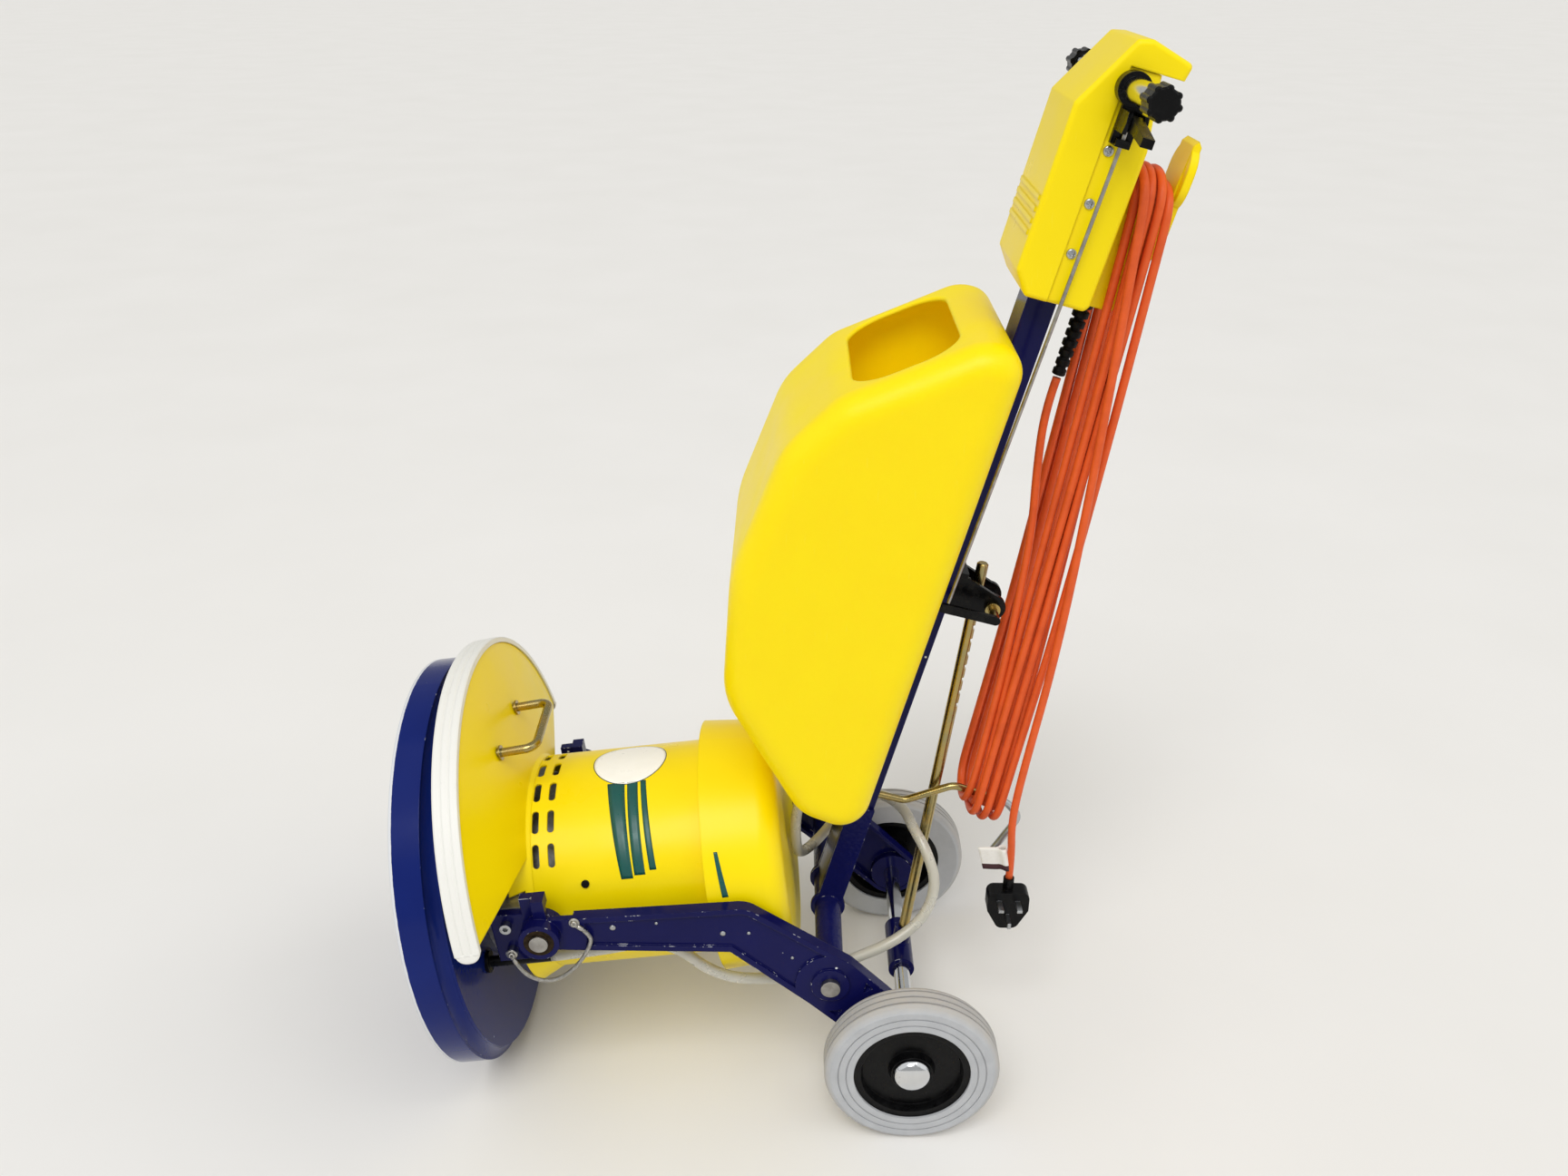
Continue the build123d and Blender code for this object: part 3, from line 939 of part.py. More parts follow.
ridge, brow = Vector(*TANK_OUTLINE[2]), Vector(*TANK_OUTLINE[3])
slope = (brow - ridge).normalized()
mouth_mid = ridge + slope * (MOUTH_NEAR + MOUTH_L / 2)
slope_world = HANDLE.x_dir * slope.X + HANDLE.z_dir * slope.Y
tank_shell, tank_hollow = tank_body(0), tank_body(TANK_WALL)
with BuildPart() as tank:
    add(tank_shell)
    add(tank_hollow, mode=Mode.SUBTRACT)
    mouth_plane = Plane(origin=HANDLE.from_local_coords((mouth_mid.X, 0, mouth_mid.Y)), x_dir=slope_world,
                        z_dir=slope_world.cross(Vector(0, -1, 0)))
    with BuildSketch(mouth_plane):
        RectangleRounded(MOUTH_L, 2 * MOUTH_HALF, MOUTH_ROUND)
    extrude(amount=MOUTH_DEPTH, both=True, mode=Mode.SUBTRACT)
    rim = [edge for edge in tank.edges() if on_mouth(mouth_plane.to_local_coords(edge.center()))]
    fillet(rim, MOUTH_LIP)
    bar(*on(HANDLE, (*OUTLET, OUTLET_END), (*OUTLET, OUTLET_TOP + OUTLET_R)), OUTLET_R + FIT,
        Mode.SUBTRACT)

# Tank outlet, with the hose's bore through it
with BuildPart() as tank_outlet:
    bar(*on(HANDLE, (*OUTLET, OUTLET_END), (*OUTLET, OUTLET_TOP)), OUTLET_R)
    bar(*on(HANDLE, (*OUTLET, OUTLET_END), (*OUTLET, OUTLET_TOP)), HOSE_BORE_R, Mode.SUBTRACT)

# Control housing: front and rear shells on the handle tube
whole = HOUSING_FRONT[1:8] + HOUSING_REAR[4:0:-1]
cavity = inset(whole[::-1], HOUSING_WALL)
half_t, half_y = TUBE_T / 2 + FIT, TUBE_Y / 2 + FIT
throat = [(-half_t, HOUSING_FRONT[0][1] - OVER), (half_t, HOUSING_FRONT[0][1] - OVER), (half_t, TUBE_TOP),
          (-half_t, TUBE_TOP)]


def meets_other_shell(edge):
    """Whether an edge lies on the seam between the housing's shells."""
    spot = HANDLE.to_local_coords(edge.center())
    under_beak = spot.X > HOUSING_SEAM and abs(spot.Z - HOUSING_FRONT[-1][1]) < CLEAR + TOUCH
    return abs(spot.X - HOUSING_SEAM) < TOUCH or under_beak


def shell_block(outline, half):
    """Solid block of one shell, with its free edges rounded."""
    with BuildPart() as block:
        plate(HANDLE_SIDE, outline, -half, half)
        fillet([edge for edge in block.edges() if not meets_other_shell(edge)], HOUSING_ROUND)
    return block.part


def hollow_shell(half):
    """Cut the cavity, the handle's throat and the T-bar's holes into one shell of the housing."""
    plate(HANDLE_SIDE, cavity, HOUSING_WALL - half, half - HOUSING_WALL, Mode.SUBTRACT)
    plate(HANDLE_SIDE, throat, -half_y, half_y, Mode.SUBTRACT)
    cross(HANDLE_SIDE, TBAR, -half, half, TBAR_R + FIT, Mode.SUBTRACT)


front_block, rear_block = shell_block(HOUSING_FRONT, HOUSING_HALF), shell_block(HOUSING_REAR, REAR_HALF)
with BuildPart() as housing_front:
    add(front_block)
    hollow_shell(HOUSING_HALF)
    front_t = HOUSING_FRONT[2][0]
    for rib_s in HOUSING_RIBS:
        plate(HANDLE_SIDE, [(front_t - RIB_PROUD, rib_s), (front_t + OVER, rib_s),
                            (front_t + OVER, rib_s + RIB_H),
                            (front_t - RIB_PROUD, rib_s + RIB_H)], RIB_SHORT - HOUSING_HALF,
                            HOUSING_HALF - RIB_SHORT)
(switch_t0, switch_s0), (switch_t1, switch_s1) = HOUSING_REAR[3:5]
switch_up = Vector(switch_t1 - switch_t0, switch_s1 - switch_s0).normalized()
switch_out = HANDLE.x_dir * switch_up.Y - HANDLE.z_dir * switch_up.X
SWITCH_SIDE = Plane(origin=HANDLE.from_local_coords(((switch_t0 + switch_t1) / 2, 0,
                                                     (switch_s0 + switch_s1) / 2)),
                    x_dir=switch_out, z_dir=NEAR)
with BuildPart() as housing_rear:
    add(rear_block)
    hollow_shell(REAR_HALF)
    for screw_s in HOUSING_SCREWS:
        spot = (HOUSING_SCREW_T, screw_s)
        for inner, outer in ((TUBE_Y / 2 + TOUCH, REAR_HALF - OVER),
                             (OVER - REAR_HALF, -TUBE_Y / 2 - TOUCH)):
            cross(HANDLE_SIDE, spot, inner, outer, HOUSING_POST_R)
        cross(HANDLE_SIDE, spot, -REAR_HALF, REAR_HALF, HOUSING_SCREW_R + FIT, Mode.SUBTRACT)
    ring(SWITCH_SIDE, (-2 * HOUSING_WALL, HOUSING_WALL), 0, SWITCH_BEZEL_R)
    ring(SWITCH_SIDE, (-2 * HOUSING_WALL, HOUSING_WALL), 0, SWITCH_R + TOUCH, Mode.SUBTRACT)
with BuildPart() as power_switch:
    ring(SWITCH_SIDE, (-2 * HOUSING_WALL, SWITCH_PROUD + HOUSING_WALL), 0, SWITCH_R)
with BuildPart() as housing_screws:
    for screw_s in HOUSING_SCREWS:
        spot = (HOUSING_SCREW_T, screw_s)
        for side in (1, -1):
            cross(HANDLE_SIDE, spot, side * (TUBE_Y / 2 - TUBE_WALL), side * REAR_HALF, HOUSING_SCREW_R)
            cross(HANDLE_SIDE, spot, side * REAR_HALF, side * (REAR_HALF + HOUSING_SCREW_HEAD_T),
                  HOUSING_SCREW_HEAD_R)

# T-bar with fluted knobs
with BuildPart() as t_bar:
    cross(HANDLE_SIDE, TBAR, -TBAR_HALF, TBAR_HALF, TBAR_R)
    cross(HANDLE_SIDE, TBAR, -TBAR_HALF, TBAR_HALF, TBAR_R - TBAR_WALL, Mode.SUBTRACT)
with BuildPart() as t_bar_knobs:
    with BuildSketch(HANDLE_SIDE.offset(KNOB_IN)):
        with Locations(TBAR):
            Circle(KNOB_R)
            with PolarLocations(KNOB_LOBE_AT, KNOB_LOBES):
                Circle(KNOB_LOBE_R)
    extrude(amount=KNOB_OUT - KNOB_IN)
    outer_edges = t_bar_knobs.faces().sort_by(Axis.Y)[0].edges()
    chamfer(outer_edges, KNOB_CHAMFER)
    cross(HANDLE_SIDE, TBAR, KNOB_IN, TBAR_HALF + TOUCH, TBAR_R + FIT, Mode.SUBTRACT)
    mirror(about=Plane.XZ)

# Release lever on its clamp, and the rod that it pushes down
ACROSS = Plane(origin=HANDLE.origin, x_dir=NEAR, z_dir=-HANDLE.x_dir)
clamp_in, clamp_out = CLAMP_Y
pivot_y, pivot_s = LEVER_PIVOT
ear_t = LEVER_W / 2 + TOUCH
lever_t = CRANK_T
rod_top = HANDLE.from_local_coords((lever_t, -RELEASE_TOP[0], RELEASE_TOP[1]))
rod_end = HANDLE.from_local_coords((lever_t, -sum(CRANK_Y) / 2, RELEASE_FOOT))
rod_dir = (rod_end - rod_top).normalized()
with BuildPart() as lever_clamp:
    cross(HANDLE_SIDE, TBAR, clamp_in, clamp_out, CLAMP_R)
    plate_end = clamp_in + CLAMP_PLATE_T
    half = ear_t + LEVER_EAR
    plate_top = TBAR[1] - CLAMP_UNDER
    plate(HANDLE_SIDE, [(lever_t - half, CLAMP_FOOT), (lever_t + half, CLAMP_FOOT),
                        (lever_t + half, plate_top),
                        (lever_t - half, plate_top)], clamp_in, plate_end)
    nose = [(pivot_y + beyond, pivot_s + rise) for beyond, rise in EAR_NOSE]
    for low in (-lever_t - half, -lever_t + ear_t):
        plate(ACROSS, [(clamp_in, nose[0][1])] + nose + [(clamp_in, nose[-1][1])], low, low + LEVER_EAR)
    ledge = RELEASE_TOP[0] + GUIDE_OVER
    plate(ACROSS, [(clamp_in, GUIDE_S[0]), (ledge, GUIDE_S[0]), (ledge, GUIDE_S[1]),
                   (clamp_in, GUIDE_S[1])],
          -lever_t - GUIDE_HALF, -lever_t + GUIDE_HALF)
    bar(rod_top, rod_top + rod_dir * GUIDE_BORE, RELEASE_ROD_R + TOUCH, Mode.SUBTRACT)
    cross(HANDLE_SIDE, TBAR, clamp_in, clamp_out, TBAR_R + FIT, Mode.SUBTRACT)
    with BuildSketch(ACROSS.offset(-lever_t - half)):
        with Locations(LEVER_PIVOT):
            Circle(LEVER_PIN_R)
    extrude(amount=2 * half)
with BuildPart() as release_lever:
    heel = clamp_in + CLAMP_PLATE_T + LEVER_HEEL_GAP
    low_edge = [(heel, pivot_s + LEVER_HEEL_H[0])] + [(pivot_y + y, pivot_s + rise) for y,
                                                      rise in LEVER_LOW]
    tip = [(LEVER_TIP, pivot_s + rise) for rise in LEVER_TIP_H]
    high_edge = [(pivot_y + y, pivot_s + rise) for y, rise in LEVER_HIGH]
    heel_edge = [(heel, pivot_s + LEVER_HEEL_H[1])]
    plate(ACROSS, low_edge + tip + high_edge + heel_edge, -lever_t - LEVER_W / 2, -lever_t + LEVER_W / 2)
    with BuildSketch(ACROSS.offset(-lever_t - LEVER_W / 2)):
        with Locations(LEVER_PIVOT):
            Circle(LEVER_PIN_R + RUN)
    extrude(amount=LEVER_W, mode=Mode.SUBTRACT)
with BuildPart() as release_rod:
    bar(rod_top, rod_end, RELEASE_ROD_R)

# Cord cleat, wire hook, strain relief and the wound cord
with BuildPart() as cord_cleat:
    plate(HANDLE_SIDE, CLEAT_OUTLINE, -CLEAT_HALF, CLEAT_HALF)
    level_edges = cord_cleat.edges().filter_by(Axis(HANDLE.origin, HANDLE.x_dir))
    fillet(level_edges.sort_by(Axis(HANDLE.origin, HANDLE.z_dir))[-2:], CLEAT_HALF - TOUCH)
    foot_s, top_s = BLADE_S
    plate(ACROSS, [(-BLADE_HALF, foot_s), (BLADE_HALF, foot_s), (BLADE_HALF, top_s),
                   (-BLADE_HALF, top_s)],
          -BLADE_T[1], -BLADE_T[0], rounds=BLADE_ROUND)
with BuildPart() as cord_hook:
    tube(on(HANDLE, *[(t, HOOK_Y, along) for t, along in HOOK_POINTS]), HOOK_BENDS, HOOK_R)
RELIEF_SIDE = Plane(origin=HANDLE.from_local_coords((RELIEF_T, 0, 0)), x_dir=HANDLE.z_dir, z_dir=NEAR)
with BuildPart() as strain_relief:
    step = (RELIEF_TOP - RELIEF_END) / RELIEF_RINGS
    thick, thin = RELIEF_R
    for turn_no in range(RELIEF_RINGS):
        top = RELIEF_TOP - step * turn_no
        radius = thick + (thin - thick) * turn_no / (RELIEF_RINGS - 1)
        ring(RELIEF_SIDE, (top - step * RELIEF_RIB, top), 0, radius)
        ring(RELIEF_SIDE, (top - step, top - step * RELIEF_RIB), 0, radius - RELIEF_GROOVE)


def turns():
    """Corners of the wound cord: down the near side, under the hook, up the far side, over the cleat."""
    corners, bends = [], []
    places = []
    for i in range(LOOPS_IN):
        places.append((LOOP_TOP_T + LOOP_STEP * i, LOOP_FOOT_T + LOOP_FOOT_STEP * i, 0))
    for i in range(LOOPS_OUT):
        back = LOOPS_IN - 2 - i
        places.append((LOOP_TOP_T + LOOP_STEP * back, LOOP_FOOT_T + LOOP_FOOT_STEP * (back + 1), 1))
    for i, (top_t, foot_t, layer) in enumerate(places):
        reach, bend = LOOP_R + LOOP_LAYER * layer, LOOP_BEND + LOOP_LAYER * layer
        low, high = LOOP_FOOT_S - reach, LOOP_TOP_S + reach
        near = reach + (LOOP_LAYER if i in (LOOPS_IN - 1, len(places) - 1) else 0)
        corners += [(foot_t, -reach, low), (foot_t, reach, low), (top_t, reach, high),
                    (top_t, -near, high)]
        bends += [bend] * 4
    return corners, bends


loop_corners, loop_bends = turns()
first = Vector(*loop_corners[0])
join_dir = (Vector(*LEAD_POINTS[-1]) - first).normalized()
join = first + join_dir * ((LEAD_JOIN - first.Z) / join_dir.Z)
lead_points = LEAD_POINTS[:-1] + [tuple(join + join_dir * LEAD_RUN), tuple(join)]
last_turn = Vector(*loop_corners[-1])
tail_join = Vector(TAIL_JOIN[0], last_turn.Y, TAIL_JOIN[1])
hang = HANDLE.from_local_coords(TAIL_END)
above = HANDLE.to_local_coords(hang + Vector(0, 0, TAIL_DROP))
tail_points = [tuple(tail_join), tuple(tail_join + (tail_join - last_turn).normalized() * TAIL_RUN),
               tuple(above), TAIL_END]
hank_points = [tuple(join)] + loop_corners + [tuple(tail_join)]
with BuildPart() as cord_lead:
    lead_path = tube(on(HANDLE, *lead_points), soft_radii(lead_points), CORD_R)
with BuildPart() as cord_hank:
    hank_path = tube(on(HANDLE, *hank_points), loop_bends, CORD_R)
with BuildPart() as cord_tail:
    tail_path = tube(on(HANDLE, *tail_points), soft_radii(tail_points), CORD_R)

# Plug, hanging plumb from the tail with its pins to the near side
PLUG = Plane(origin=hang, x_dir=(0, 0, -1), z_dir=NEAR)
with BuildPart() as plug:
    bar(hang, hang - Vector(0, 0, PLUG_NECK_L), PLUG_NECK_R)
    top, half = PLUG_NECK_L - OVER, PLUG_W / 2
    right = [(top, half), (top + PLUG_SHOULDER, half), (top + PLUG_L, PLUG_TIP_W / 2)]
    plate(PLUG, right + [(down, -across) for down, across in right[::-1]], -PLUG_D / 2, PLUG_D / 2,
          rounds=PLUG_ROUND)
    fillet(plug.faces().sort_by(Axis.Y)[-1].edges(), PLUG_BACK_ROUND)
    for across, down, wide, high in PLUG_PINS:
        with BuildSketch(PLUG.offset(PLUG_D / 2)):
            with Locations((PLUG_NECK_L + down, across)):
                Rectangle(high, wide)
        extrude(amount=PLUG_PIN_L)

# Hose from the tank to the deck, with its inlet
hose_points = on(HANDLE, *HOSE_FROM_TANK) + on(HEAD, *HOSE_TO_HEAD)
with BuildPart() as solution_hose:
    tube(hose_points, soft_radii(hose_points), HOSE_R, HOSE_BORE_R)
inlet_x, inlet_y, inlet_u = HOSE_TO_HEAD[-1]
with BuildPart() as hose_inlet:
    bar(*on(HEAD, (inlet_x, inlet_y, DECK_H), (inlet_x, inlet_y, inlet_u)), HOSE_R)
    bar(*on(HEAD, (inlet_x, inlet_y, DECK_H), (inlet_x, inlet_y, DECK_H + INLET_FLANGE_T)),
        INLET_FLANGE_R)
    bar(*on(HEAD, (inlet_x, inlet_y, DECK_H), (inlet_x, inlet_y, inlet_u)), HOSE_BORE_R, Mode.SUBTRACT)
strap_spots = [(PIVOT[0] + x, PIVOT[1] + z) for x, z in STRAP_POINTS]
strap_points = on(SIDE, *[(x, z, STRAP_FACE) for x, z in strap_spots])
with BuildPart() as earth_strap:
    tube(strap_points, soft_radii(strap_points), STRAP_R)
    ring_face = STRAP_FACE + STRAP_R + CLEAR
    cross(SIDE, strap_spots[0], ARM_OUT, ring_face, STRAP_RING_R)
    cross(SIDE, strap_spots[-1], BRACKET_OUT + SCREW_HEAD_T, ring_face, STRAP_RING_R)

# Cord and hose bends, and the least space between two turns of the cord
SAMPLE = 2.5
spots = []
for path in (lead_path, hank_path, tail_path):
    steps = int(path.length / SAMPLE)
    spots += [tuple(path @ (i / steps)) for i in range(steps)]
spots = numpy.array(spots)
skip = int(8 * CORD_R / SAMPLE)
gaps = [numpy.linalg.norm(spots[i + skip:] - spots[i], axis=1).min() for i in range(len(spots) - skip)]
least = min(gaps)
cord_length = sum(path.length for path in (lead_path, hank_path, tail_path))
print("cord length", round(cord_length), "least gap between turns", round(least - 2 * CORD_R, 2))
print("lead bends", [round(r) for r in soft_radii(lead_points)], "tail bends",
      [round(r) for r in soft_radii(tail_points)])
print("turn bends", sorted(set(loop_bends)), "hose bends", [round(r) for r in soft_radii(hose_points)])
print("strap bends", [round(r) for r in soft_radii(strap_points)])

EXPORTS = {
    "near_tyre": near_tyre, "near_hub": near_hub, "far_tyre": far_tyre, "far_hub": far_hub,
    "wheel_axle": wheel_axle, "axle_caps": axle_caps, "near_arm": near_arm, "far_arm": far_arm,
    "pivot_bushes": pivot_bushes, "handle_pivot_bolt": handle_pivot_bolt,
    "pivot_brackets": pivot_brackets, "pivot_pins": pivot_pins, "deck": deck,
    "gearbox_case": gearbox_case, "layshaft": layshaft, "output_gear": output_gear,
    "rotor_shaft": rotor_shaft, "motor_plate": motor_plate, "bearings": bearings,
    "drive_hub": drive_hub, "stator_core": stator_core, "stator_windings": stator_windings,
    "rotor_core": rotor_core, "motor_frame": motor_frame, "motor_end_bell": motor_end_bell,
    "cooling_fan": cooling_fan, "head_screws": head_screws, "motor_barrel": motor_barrel,
    "motor_cap": motor_cap, "run_capacitor": run_capacitor, "hood": hood, "bumper": bumper,
    "lift_handle": lift_handle, "handle_tube": handle_tube, "handle_foot": handle_foot,
    "clevis": clevis, "pawl": pawl, "lock_rod": lock_rod, "axle_sleeve": axle_sleeve, "tank": tank,
    "tank_outlet": tank_outlet, "housing_front": housing_front, "housing_rear": housing_rear,
    "power_switch": power_switch, "housing_screws": housing_screws, "t_bar": t_bar,
    "t_bar_knobs": t_bar_knobs, "lever_clamp": lever_clamp, "release_lever": release_lever,
    "release_rod": release_rod, "cord_cleat": cord_cleat, "cord_hook": cord_hook,
    "strain_relief": strain_relief, "cord_lead": cord_lead, "cord_hank": cord_hank,
    "cord_tail": cord_tail, "plug": plug, "solution_hose": solution_hose, "hose_inlet": hose_inlet,
    "earth_strap": earth_strap,
}
for name, piece in EXPORTS.items():
    piece.part.label = name
    export_step(piece.part, f"parts/{name}.step")
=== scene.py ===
# %% [markdown]
# # Dressing a floor scrubber
# The machine's solids are already drawn and packed: deck, motor, fork, tank, handle and every
# moving joint. This lesson gives them the surfaces of the real machine, and adds what solids are
# poor at: a wound mains cord, a soft hose, a braided strap and thin vinyl stripes.
# Each solid keeps its place. Most of what we add is told which body of the machine carries it.

# %% Load the solids
import json
import math
from functools import partial
import bmesh
import bpy
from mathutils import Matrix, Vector


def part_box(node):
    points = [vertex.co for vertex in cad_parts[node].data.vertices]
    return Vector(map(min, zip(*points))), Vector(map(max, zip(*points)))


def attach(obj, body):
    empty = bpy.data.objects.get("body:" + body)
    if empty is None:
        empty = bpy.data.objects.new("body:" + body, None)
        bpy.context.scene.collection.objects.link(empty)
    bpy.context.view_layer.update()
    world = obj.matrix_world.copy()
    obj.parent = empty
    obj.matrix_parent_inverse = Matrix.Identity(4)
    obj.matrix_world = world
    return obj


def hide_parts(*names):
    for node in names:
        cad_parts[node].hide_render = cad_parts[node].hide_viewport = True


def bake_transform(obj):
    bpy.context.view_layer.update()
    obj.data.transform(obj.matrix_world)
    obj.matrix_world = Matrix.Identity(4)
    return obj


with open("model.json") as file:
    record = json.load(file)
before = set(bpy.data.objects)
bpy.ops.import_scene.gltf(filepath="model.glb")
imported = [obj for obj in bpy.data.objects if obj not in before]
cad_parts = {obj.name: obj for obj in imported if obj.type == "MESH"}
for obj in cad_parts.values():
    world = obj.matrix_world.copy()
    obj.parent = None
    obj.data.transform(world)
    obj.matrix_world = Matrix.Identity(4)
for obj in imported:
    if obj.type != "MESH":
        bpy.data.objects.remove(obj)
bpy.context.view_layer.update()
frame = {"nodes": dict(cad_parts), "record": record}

# %% [markdown]
# ## Rulers on the machine
# A maker measures a handle along the handle and a motor along its own axis, so we do the same.
# Three small functions turn such measures, in millimetres, into places in the scene, in metres:
# beside the wheel axle, up the leaning handle, and out along the tilted motor head.

# %% Rulers
MM = 0.001
HANDLE_LEAN = math.radians(14.8)
HEAD_TILT = math.radians(7.5)
axle = sum(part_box("wheel_axle"), Vector()) / 2
handle_foot_spot = axle + Vector((-93.5, 0, 90)) * MM
deck_face_spot = Vector((axle.x - 547 * MM, 0, 242.5 * MM * math.cos(HEAD_TILT)))
handle_up = Vector((math.sin(HANDLE_LEAN), 0, math.cos(HANDLE_LEAN)))
handle_back = Vector((math.cos(HANDLE_LEAN), 0, -math.sin(HANDLE_LEAN)))
motor_out = Vector((math.cos(HEAD_TILT), 0, math.sin(HEAD_TILT)))
motor_down = Vector((math.sin(HEAD_TILT), 0, -math.cos(HEAD_TILT)))
across = Vector((0, 1, 0))


def on_handle(back, y, up):
    return handle_foot_spot + (handle_back * back + across * y + handle_up * up) * MM


def on_head(down, y, out):
    return deck_face_spot + (motor_down * down + across * y + motor_out * out) * MM


def by_axle(x, y, z):
    return axle + Vector((x, y, z)) * MM


print("axle at", [round(x, 4) for x in axle])

# %% [markdown]
# ## Camera
# The photograph was taken from the machine's near side, about 1.3 m up, with a phone lens that
# sees about as much as a 31 mm lens on full frame. The angles come from matching the wheels, the
# deck and the handle in the picture.

# %% Camera
lens = bpy.data.cameras.new("phone_lens")
lens.lens = 31.25
lens.sensor_width = 36
camera = bpy.data.objects.new("camera", lens)
camera.location = Vector((axle.x - 0.14324, -1.35901, 1.27797))
camera.rotation_euler = [math.radians(a) for a in (63.834, -0.267, 0.391)]
bpy.context.scene.collection.objects.link(camera)
bpy.context.scene.camera = camera
print("camera", [round(x, 3) for x in camera.location])

# %% [markdown]
# ## Mains cord
# An orange PVC lead, 9 mm thick and about eleven and a half metres long, is wound between a
# plastic cleat on the control box and a wire hook low on the handle. It leaves the box through a
# ribbed strain relief, makes four turns side by side and three more on top of them, and its tail
# hangs to the plug. A NURBS spline suits it: a stiff cord bends smoothly and never in straight
# pieces. Each turn is one row of points: two at the fold on the hook, four up the far strand, two
# over the cleat and four down the near strand. The strands draw in at the middle and the outer
# ones bow out, as they do on the real machine, so the points are given one by one.

# %% Wind the cord
CORD_THICK = 9
lead = [(47.5, 0, 700), (47.5, 0, 664), (58, -12, 604), (75, -25, 534), (96, -30.5, 389), (105.4, -33, 300)]
turns = [
    [(115, -36, 185), (115, 36, 185), (109, 35, 267), (94, 31, 446), (72, 30, 660), (56, 34, 831),
     (47.5, 36, 911), (47.5, -36, 911), (57, -34, 829), (76, -30, 655), (99, -29, 438), (118, -34, 267)],
    [(127, -36, 184), (127, 36, 184), (121, 35, 266), (107, 30, 430), (86, 31, 640), (66, 34, 830),
     (57.9, 36, 911), (57.9, -36, 911), (67, -34, 833), (87, -31, 668), (113, -30, 448), (130, -35, 265)],
    [(140, -36, 186), (140, 36, 186), (133, 35, 265), (119, 31, 455), (98, 30, 648), (77, 34, 829),
     (68.3, 36, 911), (68.3, -36, 911), (78, -34, 831), (99, -30, 646), (126, -31, 436), (143, -35, 266)],
    [(152, -36, 183), (152, 36, 183), (147, 35, 264), (134, 32, 438), (111, 31, 655), (89, 34, 832),
     (78.7, 36, 911), (78.7, -45.8, 911), (89, -44, 830), (111, -40, 660), (134, -39, 445), (147, -43, 258)],
    [(153, -45.8, 173), (153, 45.8, 173), (144, 45, 258), (128, 41, 430), (104, 40, 646), (80, 44, 838),
     (68.3, 45.8, 921), (68.3, -45.8, 921), (78, -44, 838), (98, -39, 640), (120, -38, 428), (133, -43, 258)],
    [(140, -45.8, 170), (140, 45.8, 170), (131, 45, 256), (114, 40, 450), (91, 39, 662), (68, 44, 838),
     (57.9, 45.8, 921), (57.9, -45.8, 921), (67, -44, 836), (86, -40, 668), (106, -39, 452), (120, -43, 258)],
    [(127, -45.8, 174), (127, 45.8, 174), (118, 45, 258), (102, 40, 436), (79, 40, 640), (58, 44, 840),
     (47.5, 45.8, 921), (47.5, -55.6, 921), (64, -55, 838), (100, -53, 655), (139, -54, 430)]]
tail = [(158, -55.6, 245), (167.5, -55.6, 191), (186.5, -44, 142.3), (195.9, -40, 107.5)]
cord_route = [on_handle(*spot) for row in [lead, *turns, tail] for spot in row]
print("cord points", len(cord_route))

# %% [markdown]
# ## From a route to a line
# Blender can give a curve its own round bevel, but a mesh tube can also be hollow, be bent by two
# bodies and be measured exactly. So each route is drawn once as a bare NURBS line, and its points
# are read back for the tube that follows.

# %% Draw a line and read it back
CURVE_STEPS = 10


def read_line(name, places):
    """Points along the smooth curve of a route, as Blender draws it."""
    shape = bpy.data.curves.new(name, "CURVE")
    shape.dimensions = "3D"
    shape.resolution_u = CURVE_STEPS
    line = shape.splines.new("NURBS")
    line.points.add(len(places) - 1)
    for point, place in zip(line.points, places):
        point.co = (*place, 1)
    line.order_u = 3
    line.use_endpoint_u = True
    guide = bpy.data.objects.new(name, shape)
    bpy.context.scene.collection.objects.link(guide)
    seen = guide.evaluated_get(bpy.context.evaluated_depsgraph_get())
    drawn = bpy.data.meshes.new_from_object(seen)
    points = [v.co.copy() for v in drawn.vertices]
    bpy.data.objects.remove(guide)
    bpy.data.meshes.remove(drawn)
    return points


def line_length(points):
    return sum((b - a).length for a, b in zip(points, points[1:]))


cord_line = read_line("cord_guide", cord_route)
print("cord length", round(line_length(cord_line), 3), "m in", len(cord_line), "points")

# %% [markdown]
# ## From a line to a tube
# Rings of vertices are set square to the line and skinned, like the hoops and cloth of a tunnel
# tent. The rings must not spin as they go, so each takes its sideways direction from the ring
# before. The cord is solid and the hose further down has a bore, so one function makes both.

# %% Rings and skin


def cross_frames(points):
    """At each point of a line, two directions square to it that turn as little as they can."""
    frames, side = [], None
    for i, here in enumerate(points):
        along = (points[min(i + 1, len(points) - 1)] - points[max(i - 1, 0)]).normalized()
        side = along.orthogonal() if side is None else side - along * side.dot(along)
        side.normalize()
        frames.append((here, side.copy(), along.cross(side)))
    return frames


def circle(sides):
    return [math.tau * i / sides for i in range(sides)]


def hoop(mesh, middle, side, up, half_mm, sides):
    """A circle of vertices about a middle, in the plane of two directions."""
    return [mesh.verts.new(middle + (side * math.cos(a) + up * math.sin(a)) * half_mm * MM)
            for a in circle(sides)]


def skin(mesh, rings, closed=False):
    """Faces between each ring of vertices and the next, and over both ends if closed."""
    for first, second in zip(rings, rings[1:]):
        for i in range(len(first)):
            j = (i + 1) % len(first)
            mesh.faces.new((first[i], first[j], second[j], second[i]))
    if closed:
        mesh.faces.new(rings[0])
        mesh.faces.new(rings[-1])


